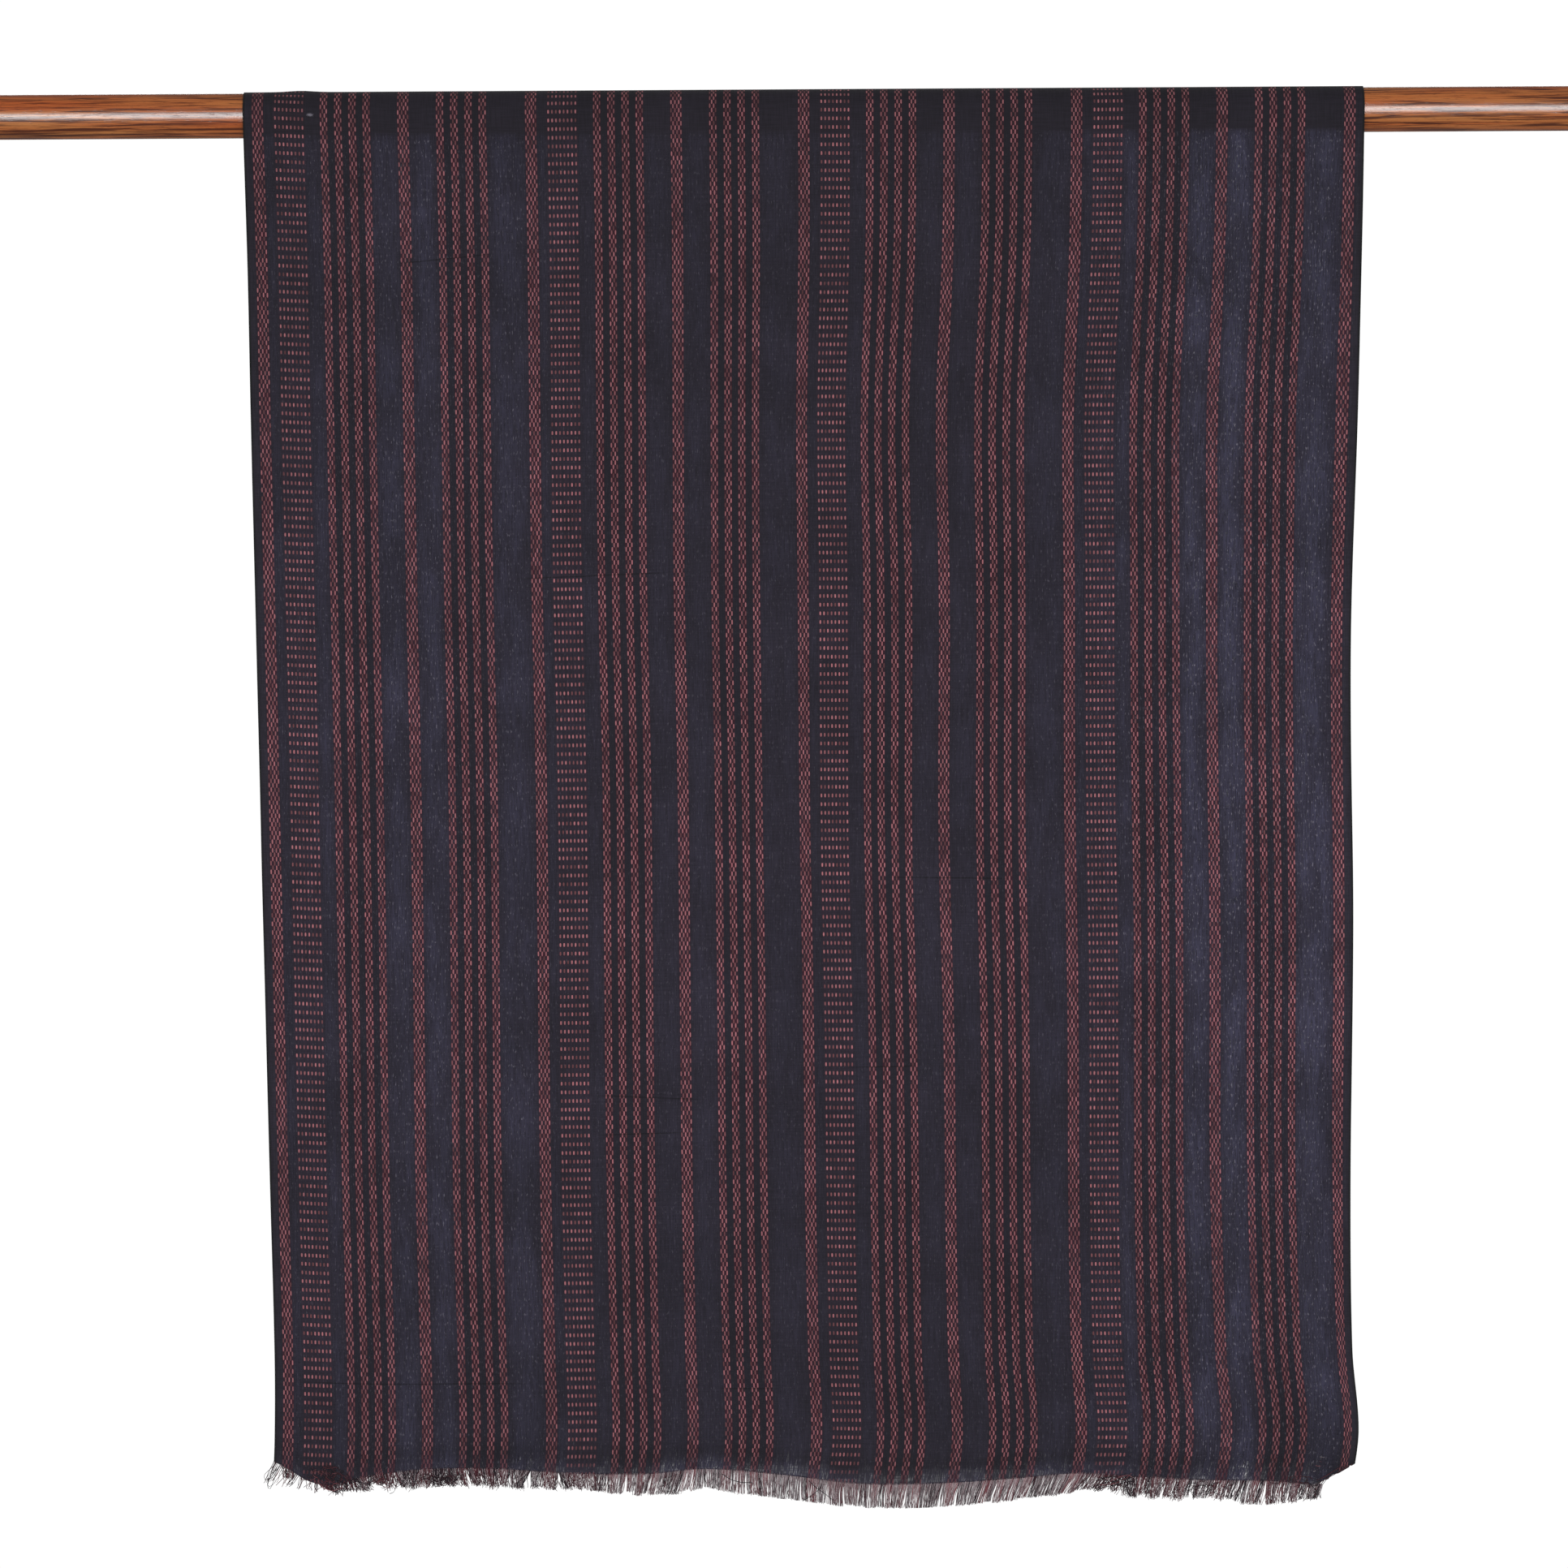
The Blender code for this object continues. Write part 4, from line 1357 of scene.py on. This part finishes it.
class SHAWL_OT_declare_cloth(bpy.types.Operator):
    """Does nothing: no sheet of cloth is given what it was cut to or what holds it"""

    bl_idname = "shawl.declare_cloth"
    bl_label = "Declare cloth"

    def execute(self, context):
        return {"FINISHED"}


class SHAWL_OT_make_stage(bpy.types.Operator):
    """Make the floor, the soft lights and the camera"""

    bl_idname = "shawl.make_stage"
    bl_label = "Make stage"

    def execute(self, context):
        settings = context.scene.shawl_stage
        scene = context.scene
        scene.view_settings.view_transform = "Standard"
        scene.view_settings.look = "None"

        # The white around the shawl is bright to the eye, dimmer as light and in the varnish
        world = bpy.data.worlds.new("white studio")
        scene.world = world
        world.use_nodes = True
        add = partial(add_node, world.node_tree)
        seen = add("LightPath", out="Is Camera Ray")
        strength = add("MapRange", (seen, 0, 1, 0.34, 1.05))
        dimmed = add("MapRange", (seen.node.outputs["Is Glossy Ray"], 0, 1, 1.0, 0.4))
        strength = add("Math", (strength, dimmed), "MULTIPLY")
        sky = world.node_tree.nodes["Background"]
        connect(sky, {"Color": (1.0, 1.0, 1.0), "Strength": strength})

        angle = np.arange(FLOOR_SIDES) * 2 * pi / FLOOR_SIDES
        ring = np.stack((np.cos(angle), np.sin(angle), 0 * angle), axis=-1) * FLOOR_RADIUS
        mesh = bpy.data.meshes.new("floor")
        mesh.from_pydata(ring.tolist(), [], [list(range(FLOOR_SIDES))])
        mesh.materials.append(make_floor_material(settings))
        floor = bpy.data.objects.new("floor", mesh)
        floor.location = (0.0, 0.0, -settings.floor_drop)
        floor.visible_diffuse = False
        floor.visible_glossy = False
        scene.collection.objects.link(floor)

        # Places in metres, turns in degrees and power in watts. The gloss panel lights nothing,
        # and is only mirrored in the varnish
        for light in table("name place turn width height power lights_all", (
            ("front light", (0.0, -4.4, -0.95), (96, 0, 0), 3.4, 0.8, 78, True),
            ("gloss panel", (0.0, -4.4, 0.02), (90, 0, 0), 3.4, 1.35, 178, False),
            ("left light", (-2.6, -2.4, 1.2), (62, 0, -48), 1.6, 1.6, 8, True),
            ("right light", (2.6, -2.4, 1.2), (62, 0, 48), 1.6, 1.6, 8, True),
            ("back light", (0.0, 3.6, 0.8), (-72, 0, 0), 3.0, 1.6, 30, True),
        )):
            lamp = bpy.data.lights.new(light.name, "AREA")
            lamp.shape = "RECTANGLE"
            lamp.size = light.width
            lamp.size_y = light.height
            lamp.energy = light.power
            holder = bpy.data.objects.new(light.name, lamp)
            holder.location = light.place
            holder.rotation_euler = [radians(turn) for turn in light.turn]
            holder.visible_camera = False
            holder.visible_diffuse = light.lights_all
            scene.collection.objects.link(holder)

        # The middle of the photo lies 15.6 mm left of the rod's middle and 450 mm below its axis,
        # and the rod rises a third of a degree to the right
        camera = bpy.data.cameras.new("photo view")
        camera.sensor_width = 36.0
        camera.lens = camera.sensor_width * settings.distance / settings.view_width
        camera.clip_start = 0.05
        camera.clip_end = 50.0
        holder = bpy.data.objects.new("photo view", camera)
        holder.location = (-0.01561, -0.012 - settings.distance, -0.4501)
        holder.rotation_euler = (radians(90), 0.00576, 0.0)
        scene.collection.objects.link(holder)
        scene.camera = holder
        return {"FINISHED"}


class SHAWL_PT_build(bpy.types.Panel):
    """Steps that build the shawl, in order"""

    bl_idname = "SHAWL_PT_build"
    bl_label = "Shawl on a rod"
    bl_space_type = "VIEW_3D"
    bl_region_type = "UI"
    bl_category = "Shawl"

    def draw(self, context):
        for group in GROUPS:
            box = self.layout.box()
            box.label(text=group.bl_rna.description)
            settings = getattr(context.scene, GROUPS[group])
            for name in group.__annotations__:
                box.prop(settings, name)
        for operator in OPERATORS:
            self.layout.operator(operator.bl_idname)


GROUPS = {
    ShawlRodSettings: "shawl_rod",
    ShawlClothSettings: "shawl_cloth",
    ShawlFringeSettings: "shawl_fringe",
    ShawlStageSettings: "shawl_stage",
}
OPERATORS = (
    SHAWL_OT_make_rod,
    SHAWL_OT_make_cloth,
    SHAWL_OT_make_fringes,
    SHAWL_OT_declare_cloth,
    SHAWL_OT_make_stage,
)


def register():
    for group, name in GROUPS.items():
        bpy.utils.register_class(group)
        setattr(bpy.types.Scene, name, bpy.props.PointerProperty(type=group))
    for operator in OPERATORS:
        bpy.utils.register_class(operator)
    bpy.utils.register_class(SHAWL_PT_build)


def unregister():
    bpy.utils.unregister_class(SHAWL_PT_build)
    for operator in reversed(OPERATORS):
        bpy.utils.unregister_class(operator)
    for group, name in GROUPS.items():
        delattr(bpy.types.Scene, name)
        bpy.utils.unregister_class(group)


def main():
    register()
    bpy.ops.shawl.make_rod()
    bpy.ops.shawl.make_cloth()
    bpy.ops.shawl.make_fringes()
    bpy.ops.shawl.declare_cloth()
    bpy.ops.shawl.make_stage()


if __name__ == "__main__":
    main()
